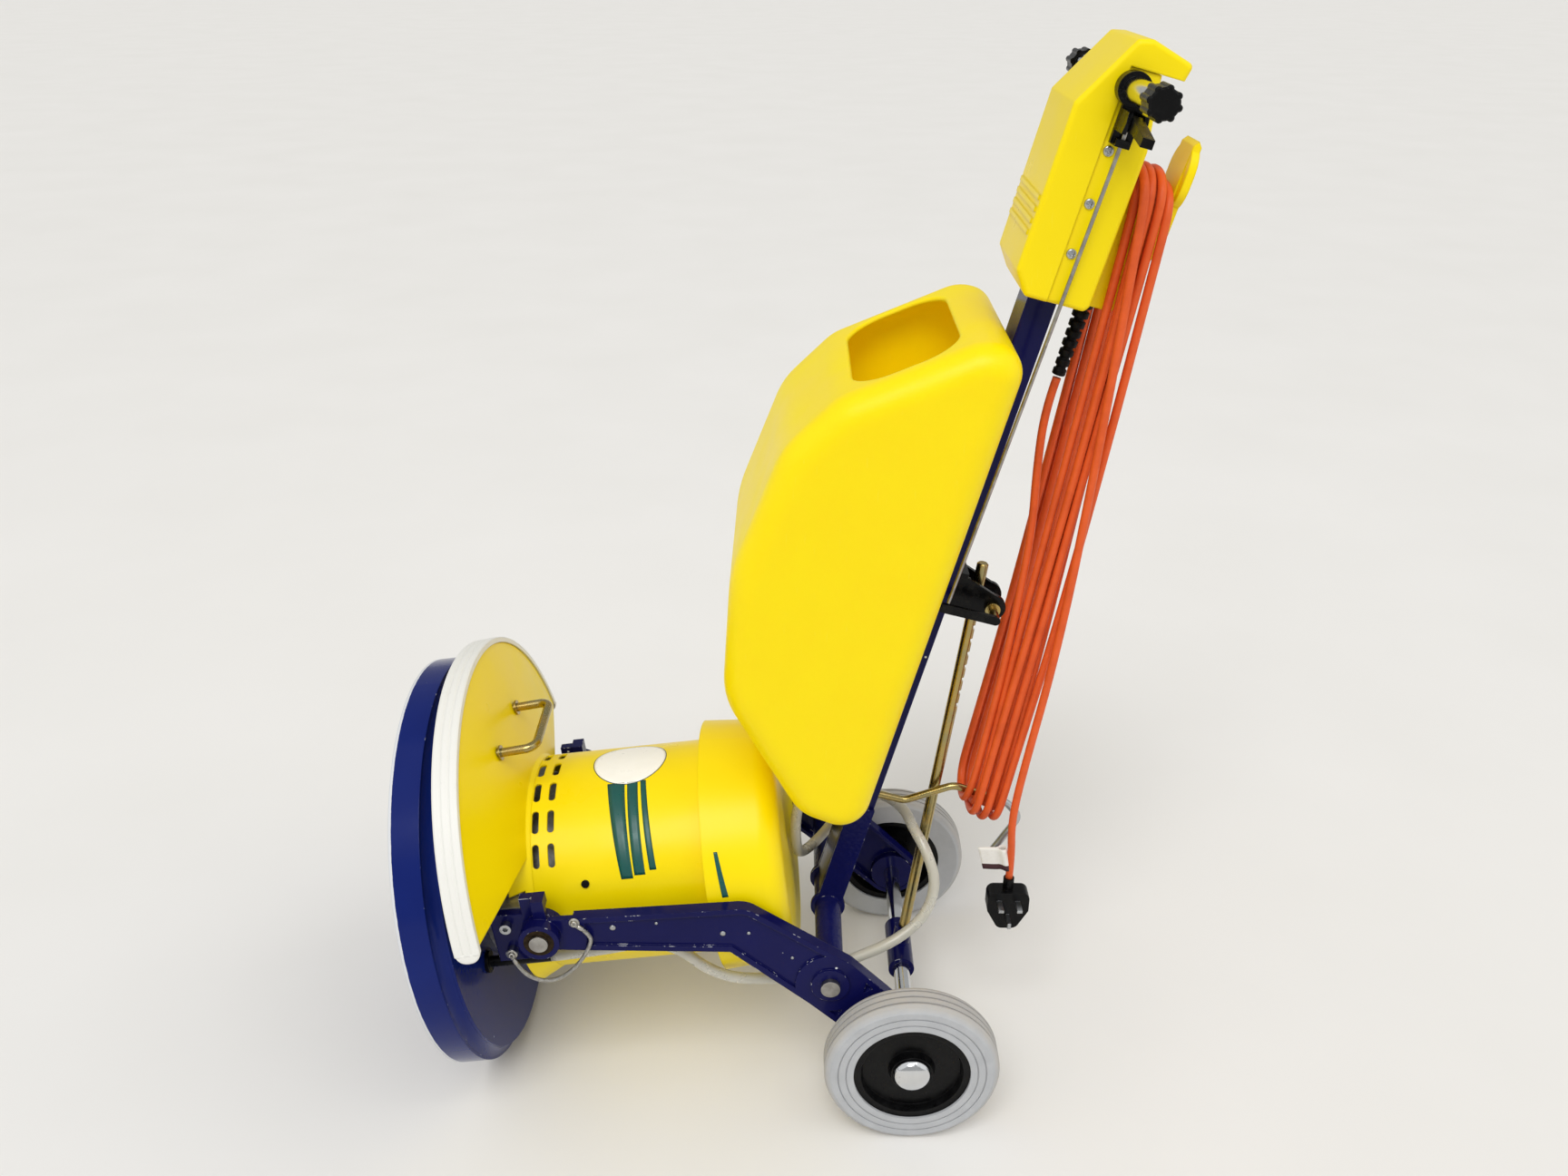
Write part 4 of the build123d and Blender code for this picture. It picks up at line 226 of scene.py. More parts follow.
def tube_mesh(points, outer_mm, bore_mm=0, sides=20):
    """A round tube along a line, solid or with a bore, with flat ends."""
    mesh = bmesh.new()
    frames = cross_frames(points)
    outside = [hoop(mesh, *spot, outer_mm / 2, sides) for spot in frames]
    skin(mesh, outside, closed=not bore_mm)
    if bore_mm:
        inside = [hoop(mesh, *spot, bore_mm / 2, sides) for spot in frames]
        skin(mesh, inside)
        for end in (0, -1):
            skin(mesh, [outside[end], inside[end]])
    return mesh


cord_mesh = tube_mesh(cord_line, CORD_THICK, sides=16)
print("cord faces", len(cord_mesh.faces))

# %% [markdown]
# ## From a mesh to a piece
# A finished mesh becomes an object of the scene and is told which body of the machine carries it.
# The hose and the strap join two bodies, so they name none here.
# The cord is carried by the handle, in place of the three plain solids that stood for it.

# %% Hang the cord on the handle


def piece(name, mesh, body, smooth=True):
    """A finished bmesh as an object, riding on a body of the machine if one is named."""
    data = bpy.data.meshes.new(name)
    bmesh.ops.recalc_face_normals(mesh, faces=mesh.faces)
    mesh.to_mesh(data)
    mesh.free()
    for face in data.polygons:
        face.use_smooth = smooth
    made = bpy.data.objects.new(name, data)
    bpy.context.scene.collection.objects.link(made)
    if body:
        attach(made, body)
    return made


mains_cord = piece("mains_cord", cord_mesh, "handle")
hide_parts("cord_lead", "cord_hank", "cord_tail")
print("piece", mains_cord.name, "with", len(mains_cord.data.vertices), "points")

# %% [markdown]
# ## Solution hose
# Clear PVC hose, 13 mm outside and 9 mm inside, runs from the tank's outlet, round the foot of
# the handle in one big loop, and along the fork arm to the deck. It crosses two joints: the handle
# tilts on the fork, and so does the head. The hose is made in two lengths that meet over the fork.
# Both follow points read from one NURBS line, so the join doesn't show.

# %% Lay the hose
HOSE_THICK, HOSE_BORE = 13, 9
hose_route = [on_handle(*p) for p in [
    (-74, -22, 158), (-74, -22, 120), (-61, -24, 74), (-47, 2, 44), (-25, 38, 42), (-4, 64, 69),
    (12, 63, 108), (35, 44, 130), (61, 21, 131), (73, -7, 124), (92, -32, 112), (112, -48, 82),
    (110, -62, 42), (80, -78, 6), (28, -100, -18), (-2, -112, -32), (-50, -124, -46), (-120, -129, -58)]]
hose_route += [on_head(*p) for p in [(44.5, -137, 262), (60, -131, 168), (60, -131, 124)]]
hose_line = read_line("hose_guide", hose_route)
fork_spot = on_handle(14, -106, -25)
cut = min(range(len(hose_line)), key=lambda i: (hose_line[i] - fork_spot).length)
upper_line, lower_line = hose_line[:cut + 1], hose_line[cut:]
tank_hose = piece("tank_hose", tube_mesh(upper_line, HOSE_THICK, HOSE_BORE), None)
deck_hose = piece("deck_hose", tube_mesh(lower_line, HOSE_THICK, HOSE_BORE), None)
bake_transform(tank_hose)
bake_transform(deck_hose)
for hose, line in ((tank_hose, upper_line), (deck_hose, lower_line)):
    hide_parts("solution_hose")
print("hose length", round(line_length(hose_line), 3), "cut at", cut, "of", len(hose_line))

# %% [markdown]
# ## Earth strap
# A tinned copper braid hangs in a loop from the fork arm to the head bracket, so that the head
# stays earthed while it tilts. A braid is two sets of wires wound opposite ways. Twelve of them,
# much coarser than the real wires, still show the crossing pattern, and each is a thin tube that
# spirals round the line of the strap.

# %% Braid the strap
STRAP_OUT = -169.6
PIVOT_X, PIVOT_Z = -418.61, 157.33
BRAID_HALF, WIRE_HALF, WIRES, WIRE_SIDES = 1.8, 0.7, 6, 6
LAY_LENGTH, WEAVE_LIFT = 13, 0.12
strap_route = [by_axle(PIVOT_X + x, STRAP_OUT, PIVOT_Z + z) for x, z in [
    (38.6, 18.7), (57.6, 4.7), (54.6, -14.3), (39.6, -40.3), (19.6, -59.3), (0.6, -63.8),
    (-16.4, -57.3), (-27.4, -43.3), (-34.4, -27.3)]]
strap_line = read_line("strap_guide", strap_route)


def braid(points):
    """Two sets of wires that spiral round a line in opposite ways, over and under each other."""
    mesh = bmesh.new()
    frames = cross_frames(points)
    for way in (1, -1):
        for wire in range(WIRES):
            travelled, rings, before = 0, [], points[0]
            for here, side, up in frames:
                travelled += (here - before).length / MM
                before = here
                turn = way * math.tau * (travelled / LAY_LENGTH) + math.tau * wire / WIRES
                weave = 1 + WEAVE_LIFT * way * math.cos(2 * turn)
                out = side * math.cos(turn) + up * math.sin(turn)
                spread = side * -math.sin(turn) + up * math.cos(turn)
                middle = here + out * BRAID_HALF * weave * MM
                rings.append(hoop(mesh, middle, out, spread, WIRE_HALF, WIRE_SIDES))
            skin(mesh, rings, closed=True)
    return mesh


earth_strap = piece("earth_braid", braid(strap_line), None)
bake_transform(earth_strap)
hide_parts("earth_strap")
print("strap length", round(line_length(strap_line), 3))

# %% [markdown]
# ## Terminals
# A ring terminal holds each end of the strap: a flat washer under a screw head, and a crimped
# barrel that grips the braid. All three are round, so they are turned on a lathe: a profile of
# distances and radii, swept about an axis. The same lathe serves for every small turned part.

# %% Turn the terminals
WASHER = [(0, 5.6), (0.3, 6.1), (1.0, 6.1), (1.3, 5.6)]
SCREW = [(1.3, 3.9), (3.4, 3.9), (4.1, 3.3), (4.3, 1.6), (3.2, 1.4)]
CRIMP, CRIMP_FROM = [(0, 2.0), (0.6, 2.7), (7, 2.7), (7.6, 2.2)], 4.5
ARM_FACE, BRACKET_FACE = 167, 166.5


def lathe(mesh, start, along, profile, sides=32):
    """Turn a profile of (distance along, radius) points, in millimetres, about an axis."""
    side = along.orthogonal().normalized()
    up = along.cross(side)
    rings = [hoop(mesh, start + along * distance * MM, side, up, radius, sides)
             for distance, radius in profile]
    skin(mesh, rings, closed=True)


def ring_terminal(name, spot, seat_mm, onward, body):
    """Washer, screw head and crimped barrel at the end of the strap."""
    mesh = bmesh.new()
    foot = Vector((spot.x, -seat_mm * MM, spot.z))
    lathe(mesh, foot, -across, WASHER)
    lathe(mesh, foot, -across, SCREW, 24)
    way = (onward - spot).normalized()
    lathe(mesh, spot + way * CRIMP_FROM * MM, way, CRIMP, 20)
    return piece(name, mesh, body)


arm_terminal = ring_terminal("arm_terminal", strap_route[0], ARM_FACE, strap_route[1], "chassis")
head_terminal = ring_terminal("head_terminal", strap_route[-1], BRACKET_FACE, strap_route[-2], "head")
print("terminals", arm_terminal.name, head_terminal.name)

# %% [markdown]
# ## Plug and tag
# The three-pin plug is a solid that is right already. On the cord above it hangs a folded paper
# tag: a strip of card wrapped round the cord, its two leaves pressed together. It follows the
# slope of the cord, and its lowest rows of faces take a second, dark card.

# %% Fold the tag
TAG_TALL, TAG_WIDE, TAG_THICK, TAG_FOOT = 34, 27, 0.5, 14
TAG_ROWS, DARK_ROWS = 8, 2
CORD_GAP, LEAF_GAP, LEAF_BULGE = 0.3, 0.35, 0.5
CORD_SLOPE_X, CORD_SLOPE_Y, TAG_SWAY = -0.27, -0.11, 0.02
cord_end = on_handle(*tail[-1])


def paper_tag():
    """A strip of card that wraps the cord and comes back as two leaves, row by row up the cord."""
    mesh = bmesh.new()
    half = CORD_THICK / 2 + CORD_GAP
    curl = [math.radians(a) for a in range(-150, 151, 20)]
    wrap = [(half * math.cos(a), half * math.sin(a)) for a in curl]
    leaf = [(-half - step, LEAF_GAP + LEAF_BULGE * math.sin(step / 6)) for step in range(3, TAG_WIDE, 3)]
    outline = [(x, -y) for x, y in reversed(leaf)] + wrap + leaf
    rings = []
    for row in range(TAG_ROWS + 1):
        high = TAG_FOOT + TAG_TALL * row / TAG_ROWS
        shift_x = CORD_SLOPE_X * high + TAG_SWAY * (high - TAG_FOOT)
        rings.append([mesh.verts.new(cord_end + Vector((x + shift_x, y + CORD_SLOPE_Y * high, high)) * MM)
                      for x, y in outline])
    for row, (low, top) in enumerate(zip(rings, rings[1:])):
        for i in range(len(outline) - 1):
            leaf_face = mesh.faces.new((low[i], low[i + 1], top[i + 1], top[i]))
            leaf_face.material_index = 1 if row < DARK_ROWS else 0
    return mesh


def give_thickness(made, name, thick_mm):
    """A modifier that thickens a sheet evenly to both sides."""
    sheet = made.modifiers.new(name, "SOLIDIFY")
    sheet.thickness = thick_mm * MM
    sheet.offset = 0


tag = piece("paper_tag", paper_tag(), "handle")
give_thickness(tag, "card", TAG_THICK)
print("tag", TAG_WIDE, "by", TAG_TALL, "mm")

# %% [markdown]
# ## Round sticker
# A round white vinyl sticker with a thin dark edge lies on top of the motor barrel. Vinyl follows
# the metal, so the disc is made of rings laid on a cylinder a quarter of a millimetre outside the
# barrel, and a thickness modifier turns it into real film whose rim catches the light. The dark
# edge is a second disc, a little larger, beneath the first.

# %% Lay the sticker
BARREL_HALF, BARREL_DOWN = 127.3, 20
FILM_GAP, EDGE_GAP, FILM_THICK = 0.25, 0.1, 0.1
STICKER_ANGLE, STICKER_OUT, STICKER_HALF, STICKER_EDGE = -3, 231, 43, 1


def on_barrel(angle, out, radius):
    """A place round the motor's axis: angle from the top towards the near side, in degrees."""
    a = math.radians(angle)
    return on_head(BARREL_DOWN - radius * math.cos(a), -radius * math.sin(a), out)


def vinyl_disc(name, half_mm, radius):
    mesh = bmesh.new()
    rings = []
    for share in (0.04, 0.2, 0.4, 0.6, 0.8, 0.92, 1):
        ring = []
        for a in circle(64):
            out, around = share * half_mm * math.cos(a), share * half_mm * math.sin(a)
            angle = STICKER_ANGLE + math.degrees(around / radius)
            ring.append(mesh.verts.new(on_barrel(angle, STICKER_OUT + out, radius)))
        rings.append(ring)
    skin(mesh, rings)
    mesh.faces.new(rings[0])
    made = piece(name, mesh, "head")
    give_thickness(made, "film", FILM_THICK)
    return made


round_sticker = vinyl_disc("round_sticker", STICKER_HALF, BARREL_HALF + FILM_GAP)
sticker_edge = vinyl_disc("sticker_edge", STICKER_HALF + STICKER_EDGE, BARREL_HALF + EDGE_GAP)
print("sticker", 2 * STICKER_HALF, "mm across")

# %% [markdown]
# ## Stripes
# Three teal stripes of falling width run down the barrel from the sticker, and a short one lies on
# the tapered cap. Each is a strip of quads between two straight edges, laid on the metal in the
# same way, so a stripe is given by the angle and the two edges at its top and at its foot.

# %% Cut the stripes
CAP_FROM, CAP_LONG, CAP_WIDE_HALF, CAP_DRAFT = 318, 88, 150, 7
STRIPE_STEPS, STRIPE_LANES = 24, 3


def film_radius(out):
    """How far the film lies from the motor's axis, on the barrel or on the tapered cap."""
    if out < CAP_FROM:
        return BARREL_HALF + FILM_GAP
    return CAP_WIDE_HALF - CAP_DRAFT * (out - CAP_FROM) / CAP_LONG + FILM_GAP


def vinyl_stripe(name, start, end):
    """A strip from one (angle, left edge, right edge) to another."""
    mesh = bmesh.new()
    rows = []
    for step in range(STRIPE_STEPS + 1):
        angle, left, right = [a + (b - a) * step / STRIPE_STEPS for a, b in zip(start, end)]
        outs = [left + (right - left) * i / STRIPE_LANES for i in range(STRIPE_LANES + 1)]
        rows.append([mesh.verts.new(on_barrel(angle, out, film_radius(out))) for out in outs])
    for low, high in zip(rows, rows[1:]):
        for i in range(STRIPE_LANES):
            mesh.faces.new((low[i], low[i + 1], high[i + 1], high[i]))
    made = piece(name, mesh, "head")
    give_thickness(made, "film", FILM_THICK)
    return made


stripes = [vinyl_stripe("wide_stripe", (15.4, 207.7, 228.2), (67.6, 220.7, 234.4)),
           vinyl_stripe("middle_stripe", (15.5, 231.2, 243.7), (66.2, 236.2, 248.7)),
           vinyl_stripe("thin_stripe", (15, 246.7, 253.2), (64.2, 254.1, 261.9)),
           vinyl_stripe("cap_stripe", (57.7, 331.3, 335.5), (78, 335.4, 342.4))]
print("stripes", len(stripes))

# %% [markdown]
# ## Axle caps
# The wheels are held by pressed caps, plated bright. On the solid they are plain discs. A dome
# shows the whole room in one small curve, which is what makes a cap look like one, so they are
# turned again from a rim and a quarter of an ellipse.

# %% Turn the axle caps
CAP_HALF, CAP_TALL, CAP_RIM, RIM_ROUND, DOME_STEP_IN, DOME_STEPS = 22, 11, 1.6, 0.6, 0.8, 13
caps_mesh = bmesh.new()
cap_seat = -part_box("axle_caps")[0].y / MM - CAP_TALL
dome = [(0, CAP_HALF - RIM_ROUND), (RIM_ROUND, CAP_HALF), (CAP_RIM, CAP_HALF)]
for step in range(1, DOME_STEPS):
    a = math.pi / 2 * step / DOME_STEPS
    dome.append((CAP_RIM + (CAP_TALL - CAP_RIM) * math.sin(a), (CAP_HALF - DOME_STEP_IN) * math.cos(a)))
for side in (-1, 1):
    lathe(caps_mesh, axle + across * side * cap_seat * MM, across * side, dome, 64)
axle_domes = piece("axle_domes", caps_mesh, "chassis")
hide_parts("axle_caps")
print("caps seat at", round(cap_seat, 1), "mm")

# %% [markdown]
# ## Screw heads
# Six cross-head screws hold the two shells of the control box together. A head is a disc of many
# fine rings, raised to a low crown, and its points sink wherever they lie inside the cross.
# A boolean cut would do the same, but this leaves clean rings.

# %% Sink the crosses
SCREW_HALF, SCREW_TALL, SCREW_RINGS, SCREW_SIDES = 5, 2.4, 18, 72
CROSS_REACH, CROSS_HALF, CROSS_DEEP = 2.9, 0.7, 1.3
CROWN_FALL, EDGE_FALL = 0.3, 0.35
SCREW_BACK, SCREW_OUT, SCREW_HEIGHTS = 2, 61, (833, 881, 930)


def cross_head(mesh, foot, out):
    """A pan head with a cross recess, standing out from its foot."""
    up = out.cross(handle_up)
    rings = []
    for step in range(SCREW_RINGS + 1, -1, -1):
        r = SCREW_HALF * min(1, (step + 0.2) / SCREW_RINGS)
        share = r / SCREW_HALF
        crown = SCREW_TALL * (1 - CROWN_FALL * share ** 2 - EDGE_FALL * share ** 12)
        if step > SCREW_RINGS:
            crown = 0
        ring = []
        for a in circle(SCREW_SIDES):
            x, y = r * math.cos(a), r * math.sin(a)
            in_cross = min(abs(x), abs(y)) < CROSS_HALF and max(abs(x), abs(y)) < CROSS_REACH
            high = crown - CROSS_DEEP * in_cross
            ring.append(mesh.verts.new(foot + (handle_up * x + up * y + out * high) * MM))
        rings.append(ring)
    skin(mesh, rings)
    mesh.faces.new(rings[-1])


screws_mesh = bmesh.new()
for side in (-1, 1):
    for height in SCREW_HEIGHTS:
        cross_head(screws_mesh, on_handle(SCREW_BACK, side * SCREW_OUT, height), across * side)
screw_heads = piece("screw_heads", screws_mesh, "handle")
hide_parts("housing_screws")
print("screw heads", 2 * len(SCREW_HEIGHTS))

# %% [markdown]
# ## Strain relief
# Where the cord leaves the control box a soft black sleeve keeps it from kinking. Deep cuts let it
# bend, and between them stand rounded rings that grow thinner towards the cord. It is turned on
# the lathe from one long profile.

# %% Cut the rings of the strain relief
RELIEF_BACK, RELIEF_TOP, RELIEF_END, RELIEF_RINGS = 47.5, 783, 700, 8
RELIEF_HALF, RELIEF_TAPER, RELIEF_CORE = 9, 2, 5.2
RING_SHARE, RING_ROUND, CUT_SLOPE = 0.66, 0.7, 0.2
ring_step = (RELIEF_TOP - RELIEF_END) / RELIEF_RINGS
ribs = []
for ring_no in range(RELIEF_RINGS):
    half = RELIEF_HALF - RELIEF_TAPER * ring_no / (RELIEF_RINGS - 1)
    start, stop = ring_no * ring_step, (ring_no + RING_SHARE) * ring_step
    ribs += [(start, half - RING_ROUND), (start + RING_ROUND, half),
             (stop - RING_ROUND, half), (stop, half - RING_ROUND),
             (stop + CUT_SLOPE, RELIEF_CORE), (start + ring_step - CUT_SLOPE, RELIEF_CORE)]
relief_mesh = bmesh.new()
lathe(relief_mesh, on_handle(RELIEF_BACK, 0, RELIEF_TOP), -handle_up, ribs[:-1])
ribbed_sleeve = piece("ribbed_sleeve", relief_mesh, "handle")
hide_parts("strain_relief")
print("strain relief rings", RELIEF_RINGS)

# %% [markdown]
# ## Rivets
# Small bright rivet heads stand in the pressed panel of each fork arm. They are shallow domes,
# turned one by one, and each spot has its own size.

# %% Set the rivets in the arms
ARM_PANEL, RIVET_TALL = 164, 1.5
rivet_spots = [(-338, 167, 3.6), (-289, 174, 1.9), (-215, 160, 3.2), (-186, 161, 2.1), (-137, 126, 1.9)]
rivets_mesh = bmesh.new()
for side in (-1, 1):
    for x, z, half in rivet_spots:
        rivet = [(0, half), (0.4 * RIVET_TALL, half), (0.8 * RIVET_TALL, 0.75 * half),
                 (RIVET_TALL, 0.4 * half)]
        lathe(rivets_mesh, by_axle(x, side * ARM_PANEL, z), across * side, rivet, 24)
arm_rivets = piece("arm_rivets", rivets_mesh, "chassis")
print("rivets", 2 * len(rivet_spots))

# %% [markdown]
# ## Bumper ends
# The bumper is a soft strip whose ends are rounded off. Each nose is a stack of shrinking sections,
# square with well-rounded corners, that goes on from the end of the strip.

# %% Round off the bumper
NOSE_LONG, NOSE_SUNK, NOSE_HALF_WIDE, NOSE_HALF_THICK = 12, 1.5, 13.6, 3.3
NOSE_STEPS, NOSE_END, NOSE_SIDES = 12, 11.4, 36
BUMPER_MID, BUMPER_STOP, HOOD_LEAN = 256.6, 51, math.radians(11.5)
hood_middle = on_head(-2.1, 0, 80.7)
hood_down = Vector((math.sin(HOOD_LEAN), 0, -math.cos(HOOD_LEAN)))
hood_out = Vector((math.cos(HOOD_LEAN), 0, math.sin(HOOD_LEAN)))


def bumper_nose(mesh, side):
    """A soft nose at one end of the strip, on the far side or the near one."""
    reach = math.sqrt(BUMPER_MID ** 2 - BUMPER_STOP ** 2)
    outward = (across * side * reach - hood_down * BUMPER_STOP).normalized()
    onward = outward.cross(hood_out) * side
    rings = []
    for step in range(NOSE_STEPS):
        share = math.sin(math.pi / 2 * step / NOSE_END)
        wide = NOSE_HALF_WIDE * math.sqrt(1 - share ** 2)
        thick = NOSE_HALF_THICK * math.sqrt(1 - share ** 4)
        middle = hood_middle + (outward * BUMPER_MID + onward * (NOSE_LONG * share - NOSE_SUNK)) * MM
        ring = []
        for a in circle(NOSE_SIDES):
            x, y = math.cos(a), math.sin(a)
            squarish = (abs(x) ** 4 + abs(y) ** 4) ** -0.25
            ring.append(mesh.verts.new(middle + (outward * x * thick + hood_out * y * wide) * squarish * MM))
        rings.append(ring)
    skin(mesh, rings, closed=True)


noses_mesh = bmesh.new()
for side in (-1, 1):
    bumper_nose(noses_mesh, side)
bumper_noses = piece("bumper_noses", noses_mesh, "head")
print("bumper noses", len(bumper_noses.data.polygons), "faces")

# %% [markdown]
# ## Colour and nodes
# Colours are written as the eye and a paint chart know them, in sRGB hex, and one function turns
# them into the linear values that a renderer needs. A second small function adds any node, sets it
# and links it, so that each material below reads as a list of what its surface does. Where a node
# is given as an input, its first live output is meant. A new surface hands back its material, a
# call that adds its nodes, a call that sets its shader, and the place of a point on the object.

# %% Helpers for materials
BY, FROM, TO = 0, 6, 7  # inputs of a colour mix
LOW, HIGH, NEW_LOW, NEW_HIGH = 1, 2, 3, 4  # inputs of a range map, from 0 to 1 unless they are given
USUAL = {"Mix": {"data_type": "RGBA"}, "Bevel": {"samples": 4}, "AmbientOcclusion": {"samples": 8}}


def paint(hex_code):
    """An sRGB colour as linear values, with full cover."""
    values = [int(hex_code[i:i + 2], 16) / 255 for i in (1, 3, 5)]
    return (*[v / 12.92 if v <= 0.04045 else ((v + 0.055) / 1.055) ** 2.4 for v in values], 1)


def set_inputs(tree, node, inputs):
    """Set each input to a value, or link it to a socket or to a node's first live output."""
    for socket, value in inputs.items():
        if isinstance(value, bpy.types.Node):
            value = next(out for out in value.outputs if out.enabled)
        if isinstance(value, bpy.types.NodeSocket):
            tree.links.new(value, node.inputs[socket])
        else:
            node.inputs[socket].default_value = value


def add_node(tree, kind, inputs, **settings):
    """Add a shader node with its inputs, and its settings where they aren't the usual ones."""
    made = tree.nodes.new("ShaderNode" + kind)
    for name, value in {**USUAL.get(kind, {}), **settings}.items():
        setattr(made, name, value)
    set_inputs(tree, made, inputs)
    return made


def surface(name, sockets):
    """A new material with its fixed values on the shader, and the calls that work on it."""
    material = bpy.data.materials.new(name)
    material.use_nodes = True
    tree = material.node_tree
    add = partial(add_node, tree)
    shade = partial(set_inputs, tree, tree.nodes["Principled BSDF"])
    shade(sockets)
    return material, add, shade, add("TexCoord", {}).outputs["Object"]


def per_metre(size_mm):
    """Scale of a pattern whose cells are this many millimetres across."""
    return 1 / (size_mm * MM)


print("paint", [round(v, 3) for v in paint("#F7DD00")])

# %% [markdown]
# ## Yellow plastics
# The tank is rotomoulded polyethylene: waxy, softly glossy, with a faint orange peel from the
# mould and fine scuffs. The motor covers, hood and control box are moulded ABS, harder and a
# little shinier, with a fine spark-eroded grain. Both are coloured right through, so wear shows as
# duller and paler scuffs, not as another colour. One function makes both, with its own grain size.
# Light goes a few millimetres into polyethylene, and some comes through the tank's wall, so the
# inside of its mouth is never dark. A weak painted glow, an emission put where little open air is
# near, stands for that.

# %% Yellow plastics
OPEN_REACH, LIGHT_DEPTH = 400, 5


def yellow_plastic(name, colour, pale, rough, grain_mm, grain_high_mm, edge_mm, light_passes_with_painted_glow=False):
    material, add, shade, place = surface(name, {"IOR": 1.5, "Specular IOR Level": 0.22})
    clouds = add("TexNoise", {"Vector": place, "Scale": per_metre(70), "Detail": 3})
    tone = add("Mix", {BY: clouds, FROM: paint(colour), TO: paint(pale)})
    long_way = add("Mapping", {"Vector": place, "Scale": (1, 1, 0.12), "Rotation": (0.3, 0.5, 0.2)})
    hairs = add("TexNoise", {"Vector": long_way, "Scale": per_metre(2.2), "Detail": 4})
    scuffs = add("MapRange", {"Value": hairs, LOW: 0.66, HIGH: 0.8, NEW_HIGH: 0.16})
    worn = add("Mix", {BY: scuffs, FROM: tone, TO: paint("#FFF06A")})
    dull = add("MapRange", {"Value": clouds, LOW: 0.3, HIGH: 0.7,
                            NEW_LOW: rough - 0.05, NEW_HIGH: rough + 0.07})
    duller = add("Math", {0: dull, 1: scuffs}, operation="ADD")
    edge = add("Bevel", {"Radius": edge_mm * MM})
    grain = add("TexNoise", {"Vector": place, "Scale": per_metre(grain_mm), "Detail": 2})
    peel = add("Bump", {"Height": grain, "Distance": grain_high_mm * MM, "Strength": 0.6, "Normal": edge})
    shade({"Base Color": worn, "Roughness": duller, "Normal": peel})
    if light_passes_with_painted_glow:
        # painted light: a weak yellow emission where little open air is near stands for light coming through
        # the wall
        open_air = add("AmbientOcclusion", {"Distance": OPEN_REACH * MM}).outputs["AO"]
        glow = add("MapRange", {"Value": open_air, LOW: 0.45, HIGH: 0.15, NEW_HIGH: 0.07})
        shade({"Subsurface Weight": 0.5, "Subsurface Radius": (1, 0.85, 0.2),
               "Subsurface Scale": LIGHT_DEPTH * MM,
               "Emission Color": paint("#FFEE00"), "Emission Strength": glow})
    return material


tank_plastic = yellow_plastic("rotomoulded_polyethylene", "#FEDC00", "#FFE300", 0.38, 2.5, 0.25, 4,
                              light_passes_with_painted_glow=True)
cover_plastic = yellow_plastic("moulded_abs", "#F6DA00", "#FBE200", 0.32, 1.2, 0.1, 2.5)
print("yellow plastics", tank_plastic.name, cover_plastic.name)

# %% [markdown]
# ## Stoved enamel
# Deck, fork and handle are steel sprayed navy and stoved: deep, glossy, with a slight orange peel.
# The paint is chipped where it gets knocked. Edges are found with a bevel node: where the rounded
# normal leaves the true one, there is an edge, and a noise decides which stretches lost paint down
# to pale primer. The deck's rim is worn white all round, so its material also reads how far a
# point lies from the deck's open face.

# %% Stoved enamel


def worn_edge(add, round_mm, samples, bare_at, most):
    """A softened normal, and how worn a point is by how far that normal leaves the true one."""
    edge = add("Bevel", {"Radius": round_mm * MM}, samples=samples)
    true = add("NewGeometry", {}).outputs["Normal"]
    turned = add("VectorMath", {0: true, 1: edge}, operation="DOT_PRODUCT")
    return edge, add("MapRange", {"Value": turned, LOW: 0.97, HIGH: bare_at, NEW_HIGH: most})


def out_from_face(add, place):
    """How far a point lies out from the deck's open face, along the motor's axis."""
    from_face = add("VectorMath", {0: place, 1: deck_face_spot}, operation="SUBTRACT")
    return add("VectorMath", {0: from_face, 1: motor_out}, operation="DOT_PRODUCT")


def navy_enamel(name, deep, light, peel_mm, peel_high_mm, chip_share, worn_rim=False):
    material, add, shade, place = surface(name, {"IOR": 1.52, "Specular IOR Level": 0.13})
    clouds = add("TexNoise", {"Vector": place, "Scale": per_metre(60), "Detail": 4})
    coat = add("Mix", {BY: clouds, FROM: paint(deep), TO: paint(light)})
    edge, ridge = worn_edge(add, round_mm=1.6, samples=6, bare_at=0.84, most=1)
    knocks = add("TexNoise", {"Vector": place, "Scale": per_metre(14), "Detail": 5, "Roughness": 0.7})
    lost = add("MapRange", {"Value": knocks, LOW: 1 - chip_share, HIGH: 1.03 - chip_share})
    edge_chips = add("Math", {0: ridge, 1: lost}, operation="MULTIPLY")
    specks = add("TexVoronoi", {"Vector": place, "Scale": per_metre(34), "Randomness": 1})
    pits = add("MapRange", {"Value": specks, LOW: 0.05, HIGH: 0.035})
    bare = add("Math", {0: edge_chips, 1: pits}, operation="MAXIMUM")
    if worn_rim:
        ragged = add("Math", {0: knocks, 1: 1.4 * MM, 2: 2.4 * MM}, operation="MULTIPLY_ADD")
        rim = add("Math", {0: out_from_face(add, place), 1: ragged}, operation="LESS_THAN")
        bare = add("Math", {0: bare, 1: rim}, operation="MAXIMUM")
    colour = add("Mix", {BY: bare, FROM: coat, TO: paint("#D4D6DA")})
    gloss = add("MapRange", {"Value": bare, NEW_LOW: 0.16, NEW_HIGH: 0.65})
    orange_peel = add("TexNoise", {"Vector": place, "Scale": per_metre(peel_mm), "Detail": 2})
    depth = add("Math", {0: bare, 1: -0.8, 2: orange_peel}, operation="MULTIPLY_ADD")
    bump = add("Bump", {"Height": depth, "Distance": peel_high_mm * MM, "Strength": 0.5, "Normal": edge})
    shade({"Base Color": colour, "Roughness": gloss, "Normal": bump})
    return material


